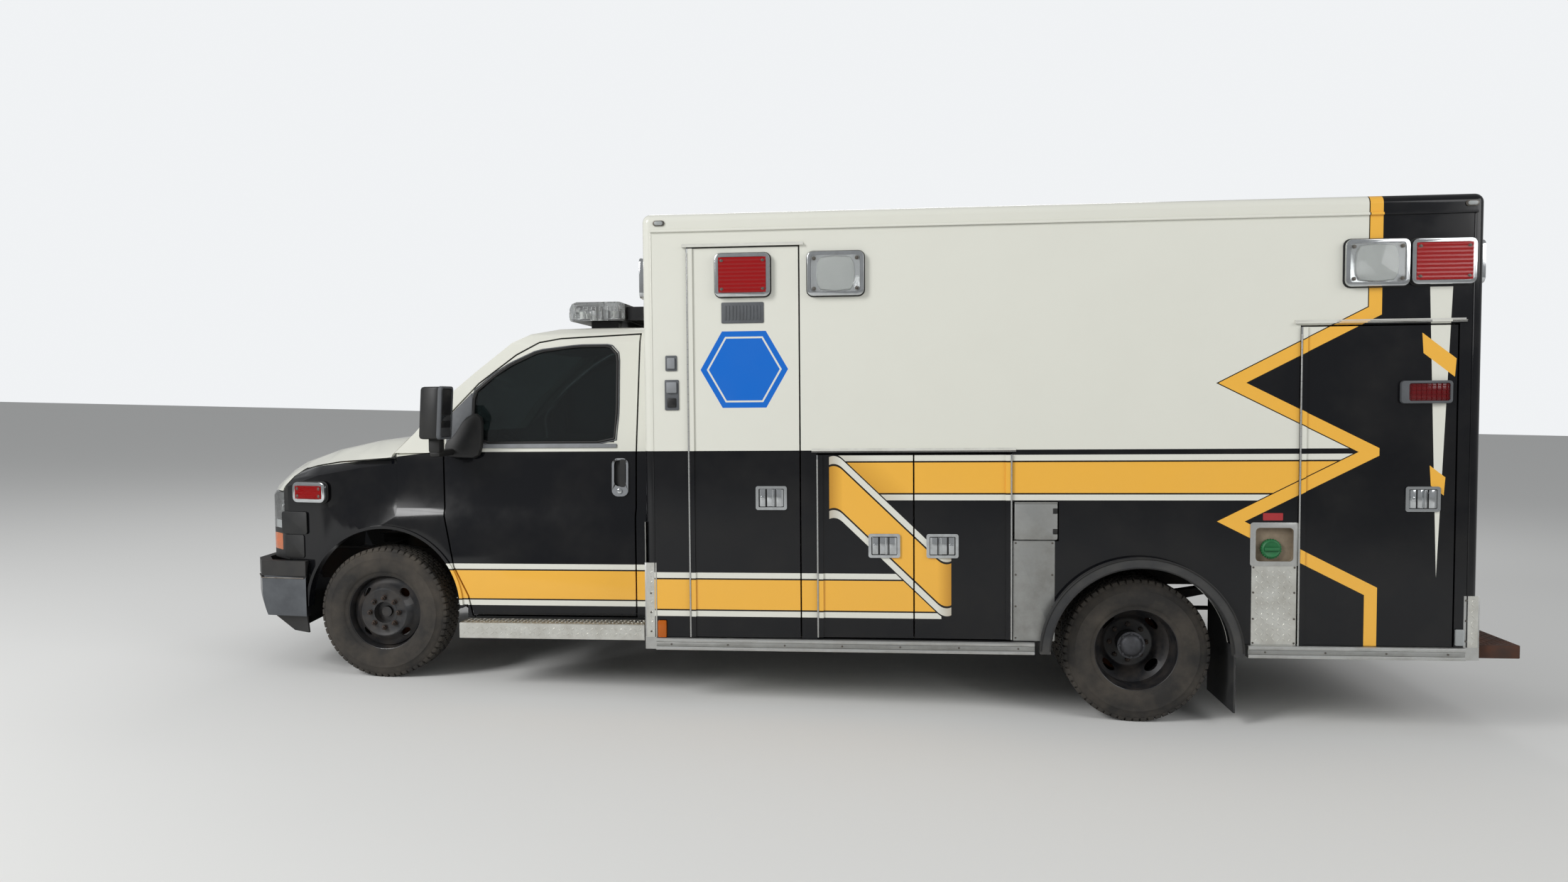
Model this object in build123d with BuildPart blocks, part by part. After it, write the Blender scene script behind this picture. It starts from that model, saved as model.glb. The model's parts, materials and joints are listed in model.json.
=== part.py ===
from build123d import *
from math import atan2, cos, degrees, pi, sin, tan
import os

os.makedirs("parts", exist_ok=True)

# A box-body ambulance on a cutaway van chassis, in millimetres, modelled in the body's own level frame:
# X runs rearwards from the front axle, Y to the right, Z up from the ground under the front axle.
# At the end every piece is turned into the parked stance, a little nose-down, on its tyres.

# Running gear
wheelbase = 4039
front_hub_z = 363
rear_hub_z = 247
tyre_radius = 363
tyre_width = 222
rim_radius = 206
rim_half_width = 84
rim_lip = 220
front_wheel_y = 874
rear_outer_y = 1056
rear_inner_y = 788
kingpin_y = 735
kingpin_radius = 18
boss_radius = 38
boss_height = 90
spindle_radius = 28
rear_spindle_radius = 44
steer_arm = 150
tie_rod_drop = 95
running_gap = 0.3
wheel_sides = 32
arch_lip = 16
arch_lip_stand = 10
bezel_radius = 28
bezel_width = 19
lens_groove = 4
hand_hole_radius = 23
hand_hole_circle = 163
knuckle_gap = 4

# Ladder frame
rail_y = 430
rail_flange = 76
rail_bottom = 470
rail_height = 185
rail_wall = 10
rail_front = -640
rail_rear = 5560
crossmember = 90
engine_front = -150
engine_rear = 640
engine_half_width = 255
engine_bottom = 480
engine_top = 1040

# Cab
cab_rear = 1499
cab_half_width = 1002
cab_wall = 60
skin_layer = 20
glass_inset = 6
glass_thickness = 6
cowl_x = 94
sill_top = 366
sill_bottom = 318
cab_floor_top = 720
floor_thickness = 40
arch_x = 20
arch_z = 402
arch_radius = 435
hood_rear = 60
nose_split = -560
door_gap = 9
door_flange = 18
bumper_bottom = 345
bumper_top = 653
bumper_pad_z = 560
handle_lean = 3.5
bar_half = 600
mirror_y = 1180
mirror_bottom = 1336
mirror_height = 276

# Patient module
module_front = 1542
module_rear = 5628
module_half_width = 1219
module_top = 2482
module_bottom = 300
wall = 55
corner_radius = 42
module_floor_top = 760
lid_gap = 8
lid_thickness = 42
hinge_radius = 4
hinge_reach = 9
hinge_leaf = 28
flare_radius = 440
flare_width = 52
flare_stand = 45
compartment_depth = 480
sheet = 12
lamp_depth = 30
tow_eye_x, tow_eye_z, tow_eye_radius = 5785, 213, 16

# Nose and hood sections: X, half width, top at the shoulder, at the hood's edge and at the middle
nose_sections = [
    (-775, 640, 950, 985, 990),
    (-749, 740, 1000, 1046, 1054),
    (-711, 815, 1060, 1135, 1147),
    (-580, 935, 1110, 1190, 1206),
    (-353, 990, 1180, 1263, 1282),
    (-106, 1000, 1222, 1314, 1334),
    (cowl_x, 1002, 1245, 1330, 1345),
]

# Greenhouse plans: Z, windscreen at the middle, at the pillar, half width
greenhouse_plans = [
    (1215, -55, 40, 962),
    (1359, 105, 186, 936),
    (1540, 262, 335, 896),
    (1694, 440, 514, 863),
    (1857, 640, 716, 827),
    (1905, 745, 815, 790),
    (1934, 900, 965, 730),
    (1944, 1080, 1140, 640),
]

# Body side of the cab: half width and Z
body_side = [(cab_half_width, sill_bottom), (cab_half_width, 905), (978, 950), (962, 1215)]

# Side views of a cab door, its windows and the windscreen's lower corner
door_outline = [
    (530, sill_top), (505, 470), (425, 631), (374, 925), (364, 1253), (356, 1396), (374, 1449),
    (541, 1628), (747, 1785), (873, 1852), (993, 1873), (1436, 1893), (1436, sill_top),
]
door_window = [
    (520, 1305), (516, 1579), (631, 1677), (721, 1735), (876, 1806), (1087, 1832), (1271, 1832),
    (1318, 1782), (1326, 1478), (1316, 1305),
]
quarter_window = [(400, 1310), (403, 1440), (490, 1535), (490, 1310)]

# Side view of the hood: the skin above this line belongs to it
hood_line = [
    (-900, 1040), (-600, 1040), (-554, 1111), (-520, 1156), (-424, 1180), (-252, 1206), (hood_rear, 1228),
]

# Lids and doors of the module's sides: side, front, rear, bottom, top, hinge edge, window
lids = {
    "front_lid_left": (-1, 1781, 2346, 305, 2300, "front", None),
    "lower_lid_left": (-1, 2441, 2920, 311, 1245, "front", None),
    "middle_lid_left": (-1, 2920 + lid_gap, 3405, 311, 1245, "rear", None),
    "rear_lid_left": (-1, 4795, 5509, 302, 1857, "front", None),
    "front_lid_right": (1, 1650, 2150, 305, 1960, "front", None),
    "entry_door": (1, 2330, 3110, 305, 2230, "front", (2450, 2990, 1420, 1980)),
    "rear_lid_right": (1, 4795, 5509, 302, 1857, "front", None),
}
flap = (3424, 3634, 817, 998)
rear_door_half = 780
rear_door_bottom = 420
rear_door_top = 2230
rear_window = (190, 640, 1420, 2020)

# Lamps of a side's wall: side, front, rear, bottom, top; and the one on the first lid
side_lamps = [
    (-1, 2393, 2679, 2048, 2270), (-1, 4981, 5268, 2045, 2270), (-1, 5289, 5576, 2050, 2268),
    (1, 3200, 3486, 2048, 2270), (1, 4981, 5268, 2045, 2270), (1, 5289, 5576, 2050, 2268),
]
lid_lamp = (1923, 2205, 2051, 2270)
# Lamps of an end: half distance from the middle, width, bottom, top
front_lamps = [(1010, 282, 2060, 2270), (640, 282, 2200, 2400), (220, 282, 2200, 2400)]
rear_lamps = [(1020, 282, 2060, 2270), (560, 282, 2262, 2390), (1020, 180, 900, 1080), (1020, 180, 700, 880)]

# Latches: lid, middle X, middle Z, whether the key is ahead of the grip
latches = [
    ("front_lid_left", 2201, 1026, True), ("lower_lid_left", 2775, 783, True), ("middle_lid_left", 3067,
            783, False),
    ("rear_lid_left", 5361, 1021, True), ("front_lid_right", 2025, 1026, True), ("entry_door", 2980, 1026,
            True),
    ("rear_lid_right", 5361, 1021, True),
]
latch_width, latch_height, latch_stand, latch_tray = 160, 122, 9, 8
# Drip rails over a side's openings: side, front, rear, bottom
drip_rails = [
    (-1, 1751, 2374, 2308), (-1, 2409, 3430, 1262), (-1, 4759, 5544, 1874),
    (1, 1630, 2170, 1972), (1, 2300, 3140, 2240), (1, 4759, 5544, 1874),
]
gutter_z = 2386

finished = {}


def keep(name, part):
    """Keep a finished piece under its node name."""
    finished[name] = part


def block(xs, ys, zs, mode=Mode.ADD):
    """Add or cut a block, given by its ranges, in the part that is being built."""
    middle = ((xs[0] + xs[1]) / 2, (ys[0] + ys[1]) / 2, (zs[0] + zs[1]) / 2)
    with Locations(middle):
        Box(abs(xs[1] - xs[0]), abs(ys[1] - ys[0]), abs(zs[1] - zs[0]), mode=mode)


def surface_lamp(origin, facing, width, height):
    """A lamp that stands on a wall: a round-cornered bezel with a banded lens set in a groove."""
    wall_plane = Plane(origin=origin, x_dir=(facing[1], -facing[0], 0), z_dir=facing)
    inner = (width - 2 * bezel_width, height - 2 * bezel_width)
    with BuildPart() as lamp:
        with BuildSketch(wall_plane):
            RectangleRounded(width, height, bezel_radius)
        extrude(amount=lamp_depth)
        with BuildSketch(wall_plane.offset(lamp_depth)):
            RectangleRounded(*inner, bezel_radius - 10)
            RectangleRounded(inner[0] - 2 * lens_groove, inner[1] - 2 * lens_groove, bezel_radius - 14,
                             mode=Mode.SUBTRACT)
            with GridLocations(0, inner[1] / 4, 1, 3):
                Rectangle(inner[0] - lens_groove, 3)
        extrude(amount=-6, mode=Mode.SUBTRACT)
    return lamp.part


def side_prism(points, y_from, y_to, gap=0.0):
    """A side-view outline, grown by a gap, between two Y values."""
    with BuildPart() as prism:
        with BuildSketch(Plane(origin=(0, max(y_from, y_to), 0), x_dir=(1, 0, 0), z_dir=(0, -1, 0))):
            with BuildLine():
                Polyline(*points, close=True)
            make_face()
            if gap:
                offset(amount=gap, kind=Kind.INTERSECTION)
        extrude(amount=abs(y_to - y_from))
    return prism.part


def rod(start, end, radius, mode=Mode.ADD):
    """Add or cut a round bar between two points in the part that is being built."""
    axis = Vector(*end) - Vector(*start)
    with Locations(Plane(origin=start, z_dir=axis)):
        Cylinder(radius, axis.length, align=(Align.CENTER, Align.CENTER, Align.MIN), mode=mode)


def wheel_ring(points, x, z):
    """A many-sided ring about a wheel's axle, from (distance along Y, radius) points, flat side down."""
    reach = 1.01 * max(radius for _, radius in points)
    half = reach * tan(pi / wheel_sides)
    with BuildPart() as wedge:
        with BuildSketch(Plane(origin=(0, 0, 0), x_dir=(0, 1, 0), z_dir=(1, 0, 0))):
            with BuildLine():
                Polyline(*points, close=True)
            make_face()
        extrude(amount=half, both=True)
        with BuildSketch(Plane(origin=(0, 0, 0), x_dir=(1, 0, 0), z_dir=(0, -1, 0))):
            with BuildLine():
                Polyline((0, 0), (half, reach), (-half, reach), close=True)
            make_face()
        extrude(amount=2 * module_half_width, both=True, mode=Mode.INTERSECT)
    axle = Axis((0, 0, 0), (0, 1, 0))
    turn = 360 / wheel_sides
    first, *others = [wedge.part.rotate(axis=axle,
                                        angle=degrees(caster) + turn * i) for i in range(wheel_sides)]
    return Pos(x, 0, z) * first.fuse(*others)


def cab_volume(inset):
    """The closed outer form of the cab, or the same form with its faces moved inwards."""
    with BuildPart() as lower:
        for x, half, shoulder, edge, crown in nose_sections:
            shift = inset if x == nose_sections[0][0] else 0
            with BuildSketch(Plane(origin=(x + shift, 0, 0), x_dir=(0, 1, 0), z_dir=(1, 0, 0))):
                with BuildLine():
                    outline = [
                        (half - inset, 500), (half - inset, shoulder - 50),
                        (half - 55 - inset * 0.5, shoulder - inset * 0.5), (half * 0.72, edge - inset),
                        (0, crown - inset),
                    ]
                    Polyline(*outline, *[(-y, z) for y, z in reversed(outline[:-1])], close=True)
                make_face()
        loft(ruled=True)
        with BuildSketch(Plane(origin=(cowl_x, 0, 0), x_dir=(0, 1, 0), z_dir=(1, 0, 0))):
            with BuildLine():
                outline = [(y - inset, max(z, sill_bottom + inset * 0.5)) for y, z in body_side]
                Polyline(*outline, *[(-y, z) for y, z in reversed(outline)], close=True)
            make_face()
        extrude(amount=cab_rear - cowl_x - inset)
    with BuildPart() as house:
        for z, middle, pillar, half in greenhouse_plans:
            drop = inset * 0.75 if z > 1857 else 0
            with BuildSketch(Plane.XY.offset(z - drop)):
                with BuildLine():
                    right = [
                        (middle + inset, 0), (middle + (pillar - middle) * 0.3 + inset, half * 0.55),
                        (pillar + inset, half - inset), (cab_rear - inset, half - inset),
                    ]
                    Polyline(*right, *[(x, -y) for x, y in reversed(right[1:])], close=True)
                make_face()
        loft(ruled=True)
    with BuildPart() as whole:
        add(lower.part)
        add(house.part)
    return whole.part


# The cab's form at the depths that its panels need
cab_outer = cab_volume(0)
cab_under_skin = cab_volume(skin_layer)
cab_inner = cab_volume(cab_wall)
glass_outer = cab_volume(glass_inset)
glass_inner = cab_volume(glass_inset + glass_thickness)

with BuildPart() as cab_skin:
    add(cab_outer)
    add(cab_inner, mode=Mode.SUBTRACT)

with BuildPart() as glass_skin:
    add(glass_outer)
    add(glass_inner, mode=Mode.SUBTRACT)

# A cab door: an outer skin over a narrower inner frame, with glass in the window
left = (-1100, -600)
with BuildPart() as door_skin:
    add(cab_outer)
    add(cab_under_skin, mode=Mode.SUBTRACT)
    add(side_prism(door_outline, *left), mode=Mode.INTERSECT)
with BuildPart() as door_frame:
    add(cab_under_skin)
    add(cab_inner, mode=Mode.SUBTRACT)
    add(side_prism(door_outline, *left, gap=-door_flange), mode=Mode.INTERSECT)
with BuildPart() as door_glass:
    add(glass_skin.part)
    add(side_prism(door_window, *left), mode=Mode.INTERSECT)
with BuildPart() as cab_door_left:
    add(door_skin.part)
    add(door_frame.part)
    for outline in (door_window, quarter_window):
        add(side_prism(outline, *left), mode=Mode.SUBTRACT)
    add(door_glass.part)
    outwards = (0, -cos(handle_lean * pi / 180), sin(handle_lean * pi / 180))
    handle_plane = Plane(origin=(1354, -968, 1116), x_dir=(1, 0, 0), z_dir=outwards)
    with BuildSketch(handle_plane):
        RectangleRounded(90, 207, 34)
    extrude(amount=11)
    with BuildSketch(handle_plane.offset(11)):
        with Locations((0, 22)):
            RectangleRounded(66, 141, 26)
    extrude(amount=-21, mode=Mode.SUBTRACT)
    with BuildSketch(handle_plane.offset(2)):
        with Locations((14, 22)):
            RectangleRounded(30, 150, 10)
    extrude(amount=10)
keep("cab_door_left", cab_door_left.part)
with BuildPart() as cab_door_right:
    mirror(cab_door_left.part, about=Plane.XZ)
keep("cab_door_right", cab_door_right.part)

# Hood: the top of the nose, a thin panel with a rim
hood_cut = side_prism(hood_line + [(hood_rear, 1500), (-900, 1500)], -1100, 1100, gap=lid_gap)
with BuildPart() as hood:
    add(cab_outer)
    add(cab_under_skin, mode=Mode.SUBTRACT)
    add(side_prism(hood_line + [(hood_rear, 1500), (-900, 1500)], -1100, 1100), mode=Mode.INTERSECT)
keep("hood", hood.part)

# Front fenders and nose: what is left of the skin ahead of the doors, under the hood
with BuildPart() as front_skin:
    add(cab_outer)
    add(cab_under_skin, mode=Mode.SUBTRACT)
    add(hood_cut, mode=Mode.SUBTRACT)
    block((-900, door_outline[4][0] + 170), (-1100, 1100), (300, 1252), mode=Mode.INTERSECT)
    for ys in ((-1100, -600), (1100, 600)):
        add(side_prism(door_outline, *ys, gap=door_gap), mode=Mode.SUBTRACT)
    with Locations(Plane(origin=(arch_x, 0, arch_z), z_dir=(0, -1, 0))):
        Cylinder(arch_radius, 2400, mode=Mode.SUBTRACT)
    block((arch_x, 498), (-1100, 1100), (250, 420), mode=Mode.SUBTRACT)
    block((-900, arch_x), (-1100, 1100), (250, arch_z), mode=Mode.SUBTRACT)
    block((-900, -420), (-1100, 1100), (250, bumper_top + 3), mode=Mode.SUBTRACT)
with BuildPart() as fenders:
    add(front_skin.part)
    block((nose_split, 600), (-1100, 1100), (250, 1400), mode=Mode.INTERSECT)
    block((nose_split, 600), (-860, 860), (250, 1400), mode=Mode.SUBTRACT)
    for side in (-1, 1):
        lip_plane = Plane(origin=(arch_x, side * (cab_half_width - 50), arch_z), x_dir=(1, 0, 0),
                          z_dir=(0, side, 0))
        with BuildSketch(lip_plane):
            Circle(arch_radius + arch_lip)
            Circle(arch_radius, mode=Mode.SUBTRACT)
            with Locations((0, side * 500)):
                Rectangle(1100, 1000, mode=Mode.SUBTRACT)
            with Locations((-439 - 100, 0)):
                Rectangle(200, 1100, mode=Mode.SUBTRACT)
        extrude(amount=50 + arch_lip_stand)
keep("front_fenders", fenders.part)

# Nose: header panel with a barred grille
grille_half, grille_bottom, grille_top = 470, 700, 965
lamp_regions = [((-900, -592), (600, 960), (826, 1040)), ((-900, -620), (600, 960), (704, 796))]
with BuildPart() as lamp_form:
    for side in (-1, 1):
        for xs, ys, zs in lamp_regions:
            block(xs, (side * ys[0], side * ys[1]), zs)
with BuildPart() as headlamps:
    add(front_skin.part)
    add(lamp_form.part, mode=Mode.INTERSECT)
keep("headlamps", headlamps.part)
with BuildPart() as nose:
    add(front_skin.part)
    add(lamp_form.part, mode=Mode.SUBTRACT)
    block((-900, nose_split), (-1100, 1100), (250, 1400), mode=Mode.INTERSECT)
    block((-900, -700), (-grille_half, grille_half), (grille_bottom, grille_top), mode=Mode.SUBTRACT)
    for z in range(grille_bottom + 33, grille_top - 20, 40):
        block((-772, -752), (-grille_half - 5, grille_half + 5), (z - 7, z + 7))
    for y in (-235, 0, 235):
        block((-770, -750), (y - 6, y + 6), (grille_bottom - 5, grille_top + 5))
    middle_z = (grille_bottom + grille_top) / 2
    block((-784, -752), (-grille_half - 4, grille_half + 4), (middle_z - 22, middle_z + 22))
    for z in (grille_bottom - 6, grille_top - 12):
        block((-786, -745), (-grille_half - 18, grille_half + 18), (z, z + 18))
    for side in (-1, 1):
        block((-782, -735), (side * (grille_half - 2), side * (grille_half + 18)),
              (grille_bottom - 6, grille_top + 6))
keep("nose", nose.part)

# Bumper with its end wraps and the air dam under it
bumper_plan = [(-838, 0), (-828, 500), (-790, 850), (-700, 985), (-430, 1012)]
with BuildPart() as front_bumper:
    with BuildSketch(Plane.XY.offset(bumper_bottom)):
        with BuildLine():
            Polyline(*bumper_plan, (-430, 970), *[(x + 40, y - 42) for x, y in reversed(bumper_plan[1:-1])],
                     (bumper_plan[0][0] + 50, 0), close=True)
        make_face()
        mirror(about=Plane.XZ)
    extrude(amount=bumper_top - bumper_bottom)
    with BuildSketch(Plane.XY.offset(bumper_bottom - 95)):
        with BuildLine():
            Polyline((-808, 0), (-794, 560), (-690, 940), (-440, 992), (-440, 977), (-676, 925),
                     (-780, 550), (-793, 0), close=True)
        make_face()
        mirror(about=Plane.XZ)
    extrude(amount=120)
    with BuildSketch(Plane.XY.offset(bumper_pad_z)):
        with BuildLine():
            Polyline(*bumper_plan, (-430, 1005), *[(x + 8, y - 8) for x, y in reversed(bumper_plan[1:-1])],
                     (bumper_plan[0][0] + 8, 0), close=True)
        make_face()
        mirror(about=Plane.XZ)
    extrude(amount=10, mode=Mode.SUBTRACT)
    for side in (-1, 1):
        block((-790, rail_front), (side * (rail_y - 60), side * rail_y), (rail_bottom + 20, rail_bottom + 90))
keep("front_bumper", front_bumper.part)

# Windscreen and the cab shell: roof, pillars, cowl, back wall and sills
with BuildPart() as windscreen_hole:
    with BuildSketch(Plane(origin=(-400, 0, 0), x_dir=(0, 1, 0), z_dir=(1, 0, 0))):
        with BuildLine():
            Polyline((-850, 1345), (-742, 1835), (742, 1835), (850, 1345), close=True)
        make_face()
    extrude(amount=1150)
with BuildPart() as windscreen:
    add(glass_skin.part)
    add(windscreen_hole.part, mode=Mode.INTERSECT)
keep("windscreen", windscreen.part)

with BuildPart() as shell_region:
    block((hood_rear + 8, 1600), (-1100, 1100), (1252, 2000))
    block((door_outline[4][0] + 176, 1600), (-1100, 1100), (300, 1300))
with BuildPart() as cab_shell:
    add(cab_skin.part)
    add(shell_region.part, mode=Mode.INTERSECT)
    add(windscreen_hole.part, mode=Mode.SUBTRACT)
    for ys in ((-1100, -600), (1100, 600)):
        add(side_prism(door_outline, *ys, gap=door_gap), mode=Mode.SUBTRACT)
    block((cab_rear - 100, cab_rear + 10), (-310, 310), (1000, 1660), mode=Mode.SUBTRACT)
    block((500, cab_rear + 10), (-880, 880), (300, cab_floor_top - floor_thickness), mode=Mode.SUBTRACT)
keep("cab_shell", cab_shell.part)

# Cab floor: raised floor with step wells, firewall and the cover over the engine's rear half
cover_half, cover_rear, cover_top, firewall_x = 292, 800, 1090, 225
toe_shelf_z, toe_x = 745, 345
with BuildPart() as cab_floor:
    block((firewall_x + 100, cab_rear - cab_wall), (-860, 860),
          (cab_floor_top - floor_thickness, cab_floor_top))
    block((firewall_x, firewall_x + 25), (-900, 900), (toe_shelf_z, 1180))
    block((firewall_x, toe_x), (-860, 860), (toe_shelf_z, toe_shelf_z + 25))
    block((toe_x - 25, toe_x), (-860, 860), (cab_floor_top - floor_thickness, toe_shelf_z + 25))
    block((firewall_x - 5, cover_rear), (-cover_half, cover_half),
          (cab_floor_top - floor_thickness, cover_top))
    block((firewall_x - 10, cover_rear - 25), (-cover_half + 25, cover_half - 25), (500, cover_top - 25),
          mode=Mode.SUBTRACT)
    for side in (-1, 1):
        block((560, 1420), (side * 860, side * 940), (sill_top - 17, sill_top - 5))
        block((560, 1420), (side * 845, side * 862), (sill_top - 17, cab_floor_top - 5))
keep("cab_floor", cab_floor.part)

# Seats, dashboard and steering column
with BuildPart() as cab_seats:
    for y in (-520, 520):
        seat_side = [(900, 800), (905, 960), (1020, 1000), (1370, 970), (1395, 800)]
        back_side = [(1290, 985), (1350, 1480), (1430, 1500), (1425, 940)]
        rest_side = [(1352, 1500), (1362, 1650), (1425, 1660), (1422, 1495)]
        add(side_prism(seat_side, y - 250, y + 250))
        add(side_prism(back_side, y - 240, y + 240))
        add(side_prism(rest_side, y - 130, y + 130))
        block((960, 1340), (y - 190, y + 190), (cab_floor_top, 805))
keep("cab_seats", cab_seats.part)

steering_wheel_y = -520
steering_radius = 205
steering_plane = Plane(origin=(640, steering_wheel_y, 1190), z_dir=(0.88, 0, 0.475))
with BuildPart() as dashboard:
    dash_side = [(255, 1000), (262, 1180), (300, 1262), (470, 1270), (545, 1200), (520, 1010), (420, 960)]
    add(side_prism(dash_side, -880, 880))
    block((200, 600), (-cover_half - 2, cover_half + 2), (900, cover_top + 2), mode=Mode.SUBTRACT)
    rod((590, steering_wheel_y, 1163), (330, steering_wheel_y, 1022), 32)
keep("dashboard", dashboard.part)

with BuildPart() as steering_wheel:
    with BuildSketch(steering_plane):
        RegularPolygon(steering_radius, 24)
        RegularPolygon(steering_radius - 30, 24, mode=Mode.SUBTRACT)
    extrude(amount=14, both=True)
    rim_ends = steering_wheel.faces().filter_by(Axis(steering_plane.origin, steering_plane.z_dir))
    chamfer(rim_ends.edges(), length=8)
    with Locations(steering_plane):
        Cylinder(48, 44)
        with PolarLocations(0, 3, start_angle=90):
            with Locations((110, 0, 0)):
                Box(150, 34, 16)
keep("steering_wheel", steering_wheel.part)

# Light bar on the cab's roof: clear modules between slim joints, a lower housing behind them, and its feet
bar_side = [
    (967, 2004), (972, 2060), (994, 2088), (1024, 2096), (1270, 2096), (1300, 2086), (1308, 2004), (1296,
            1989), (982, 1989),
]
with BuildPart() as light_bar:
    add(side_prism(bar_side, -bar_half, bar_half))
    for y in (-420, -210, 0, 210, 420):
        block((900, 1400), (y - 3, y + 3), (1950, 2120), mode=Mode.SUBTRACT)
    add(side_prism(bar_side, -bar_half, bar_half, gap=-5))
    with BuildSketch(Plane.XY.offset(1900)):
        with Locations((1137.5, 0)):
            RectangleRounded(341, 2 * bar_half, 60)
    extrude(amount=300, mode=Mode.INTERSECT)
    block((1300, 1398), (-bar_half + 60, bar_half - 60), (1992, 2070))
    for y in (-450, 450):
        block((1080, 1240), (y - 40, y + 40), (1925, 1992))
    add(cab_outer, mode=Mode.SUBTRACT)
keep("light_bar", light_bar.part)

# Running boards below the cab's doors
with BuildPart() as running_boards:
    for side in (-1, 1):
        block((505, 1515), (side * (cab_half_width + 2), side * 1150), (337, 347))
        block((505, 1515), (side * 1140, side * 1150), (267, 347))
        for x in (650, 1350):
            block((x, x + 50), (side * rail_y, side * 1145), (285, sill_bottom - 1))
            block((x, x + 50), (side * (cab_half_width + 4), side * 1145), (285, 340))
            block((x, x + 50), (side * rail_y, side * (rail_y + 10)), (285, rail_bottom + 60))
keep("running_boards", running_boards.part)

# Ladder frame: two channels facing inwards, joined by crossmembers, with the cab's mounts
with BuildPart() as chassis_frame:
    for side in (-1, 1):
        tip, web = side * (rail_y - rail_flange), side * rail_y
        block((rail_front, rail_rear), (web, web - side * rail_wall),
              (rail_bottom, rail_bottom + rail_height))
        for z in (rail_bottom, rail_bottom + rail_height - rail_wall):
            block((rail_front, rail_rear), (web, tip), (z, z + rail_wall))
        for x in (330, 1380):
            block((x - 40, x + 40), (web, tip), (rail_bottom + rail_height, cab_floor_top - floor_thickness))
    for x in (-560, 1560, 2100, 3050, 4560, rail_rear - crossmember):
        block((x, x + crossmember), (-rail_y + rail_wall, rail_y - rail_wall),
              (rail_bottom + 40, rail_bottom + 130))
keep("chassis_frame", chassis_frame.part)

# Engine, gearbox and propeller shaft: plain masses at their real places
with BuildPart() as engine:
    block((engine_front, engine_rear), (-engine_half_width, engine_half_width), (engine_bottom, engine_top))
    block((engine_rear, engine_rear + 130), (-200, 200), (engine_bottom, 640))
    block((100, 220), (-rail_y + rail_wall, rail_y - rail_wall), (520, 600))
    rod((engine_rear + 100, 0, 560), (1500, 0, 480), 115)
    rod((1470, 0, 472), (wheelbase - 330, 0, rear_hub_z + 10), 42)
    rod((wheelbase - 335, 0, rear_hub_z + 10), (wheelbase - 260, 0, rear_hub_z + 10), 46)
keep("engine", engine.part)

# Front axle: a beam with kingpins, coil springs and their seats
caster = atan2(front_hub_z - rear_hub_z, wheelbase)
up = (sin(caster), 0, cos(caster))


def on_kingpin(side, height):
    """A point on a kingpin's axis, at a height from the hub's centre."""
    return (up[0] * height, side * kingpin_y, front_hub_z + up[2] * height)


with BuildPart() as front_axle:
    block((-45, 45), (-kingpin_y + 30, kingpin_y - 30), (front_hub_z - 38, front_hub_z + 38))
    for side in (-1, 1):
        rod(on_kingpin(side, -boss_height / 2), on_kingpin(side, boss_height / 2), boss_radius)
        rod(on_kingpin(side, -118), on_kingpin(side, 118), kingpin_radius)
        rod((0, side * 392, front_hub_z + 30), (0, side * 392, rail_bottom), 62)
keep("front_axle", front_axle.part)

# Steering knuckles: a fork round the beam's end, the wheel's spindle and the steering arm
arm_z = front_hub_z - tie_rod_drop


def knuckle(side):
    """One steering knuckle."""
    with BuildPart() as piece:
        for low, high in ((-112, -boss_height / 2 - knuckle_gap), (boss_height / 2 + knuckle_gap, 112)):
            rod(on_kingpin(side, low), on_kingpin(side, high), boss_radius)
        block((-40, 40), (side * (kingpin_y + 12), side * (kingpin_y + 62)),
              (front_hub_z - 108, front_hub_z + 108))
        rod(on_kingpin(side, -boss_height / 2 - knuckle_gap), on_kingpin(side, boss_height / 2 + knuckle_gap),
            boss_radius + knuckle_gap, mode=Mode.SUBTRACT)
        rod(on_kingpin(side, -130), on_kingpin(side, 130), kingpin_radius + running_gap, mode=Mode.SUBTRACT)
        rod((0, side * (kingpin_y + 60), front_hub_z), (0, side * (front_wheel_y + 60), front_hub_z),
            spindle_radius)
        block((20, steer_arm + 20), (side * (kingpin_y - 18), side * (kingpin_y + 18)),
              (arm_z + 18, arm_z + 40))
    return piece.part


for side, name in ((-1, "left"), (1, "right")):
    keep(f"knuckle_{name}", knuckle(side))

with BuildPart() as tie_rod:
    rod((steer_arm, -kingpin_y + 5, arm_z), (steer_arm, kingpin_y - 5, arm_z), 15)
    for side in (-1, 1):
        eye = (steer_arm, side * kingpin_y, arm_z)
        rod(tuple(eye[i] - 16 * up[i] for i in range(3)), tuple(eye[i] + 17 * up[i] for i in range(3)), 20)
keep("tie_rod", tie_rod.part)

# Tyres and wheels, turned about the axle; distances along Y are from the wheel's centre, outwards positive
half_tyre = tyre_width / 2
tyre_outline = [
    (-80, rim_radius + 0.4), (-half_tyre + 8, 250), (-half_tyre, 290), (-half_tyre + 10,
            335), (-half_tyre + 32, 358),
    (-50, tyre_radius), (50, tyre_radius), (half_tyre - 32, 358), (half_tyre - 10, 335), (half_tyre, 290),
    (half_tyre - 8, 250), (80, rim_radius + 0.4),
]


def rim(wheel_y, side, disc):
    """A rim's barrel and disc outlines, the disc standing at a distance outwards from the tyre's middle."""
    lip = rim_half_width + 6
    barrel = [
        (-lip - 6, rim_lip), (-lip, rim_lip), (-rim_half_width, rim_radius), (rim_half_width, rim_radius),
        (lip, rim_lip), (lip + 6, rim_lip), (lip + 6, rim_radius - 10), (-lip - 6, rim_radius - 10),
    ]
    end = disc - 60 if disc > 0 else disc + 60
    plate = [
        (disc - 5, 55), (disc + 5, 55), (disc + 5, 132), (end + 5, rim_radius - 8),
        (end - 5, rim_radius - 8), (disc - 5, 132),
    ]
    return [(side * (wheel_y + y), r) for y, r in barrel], [(side * (wheel_y + y), r) for y, r in plate]


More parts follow.
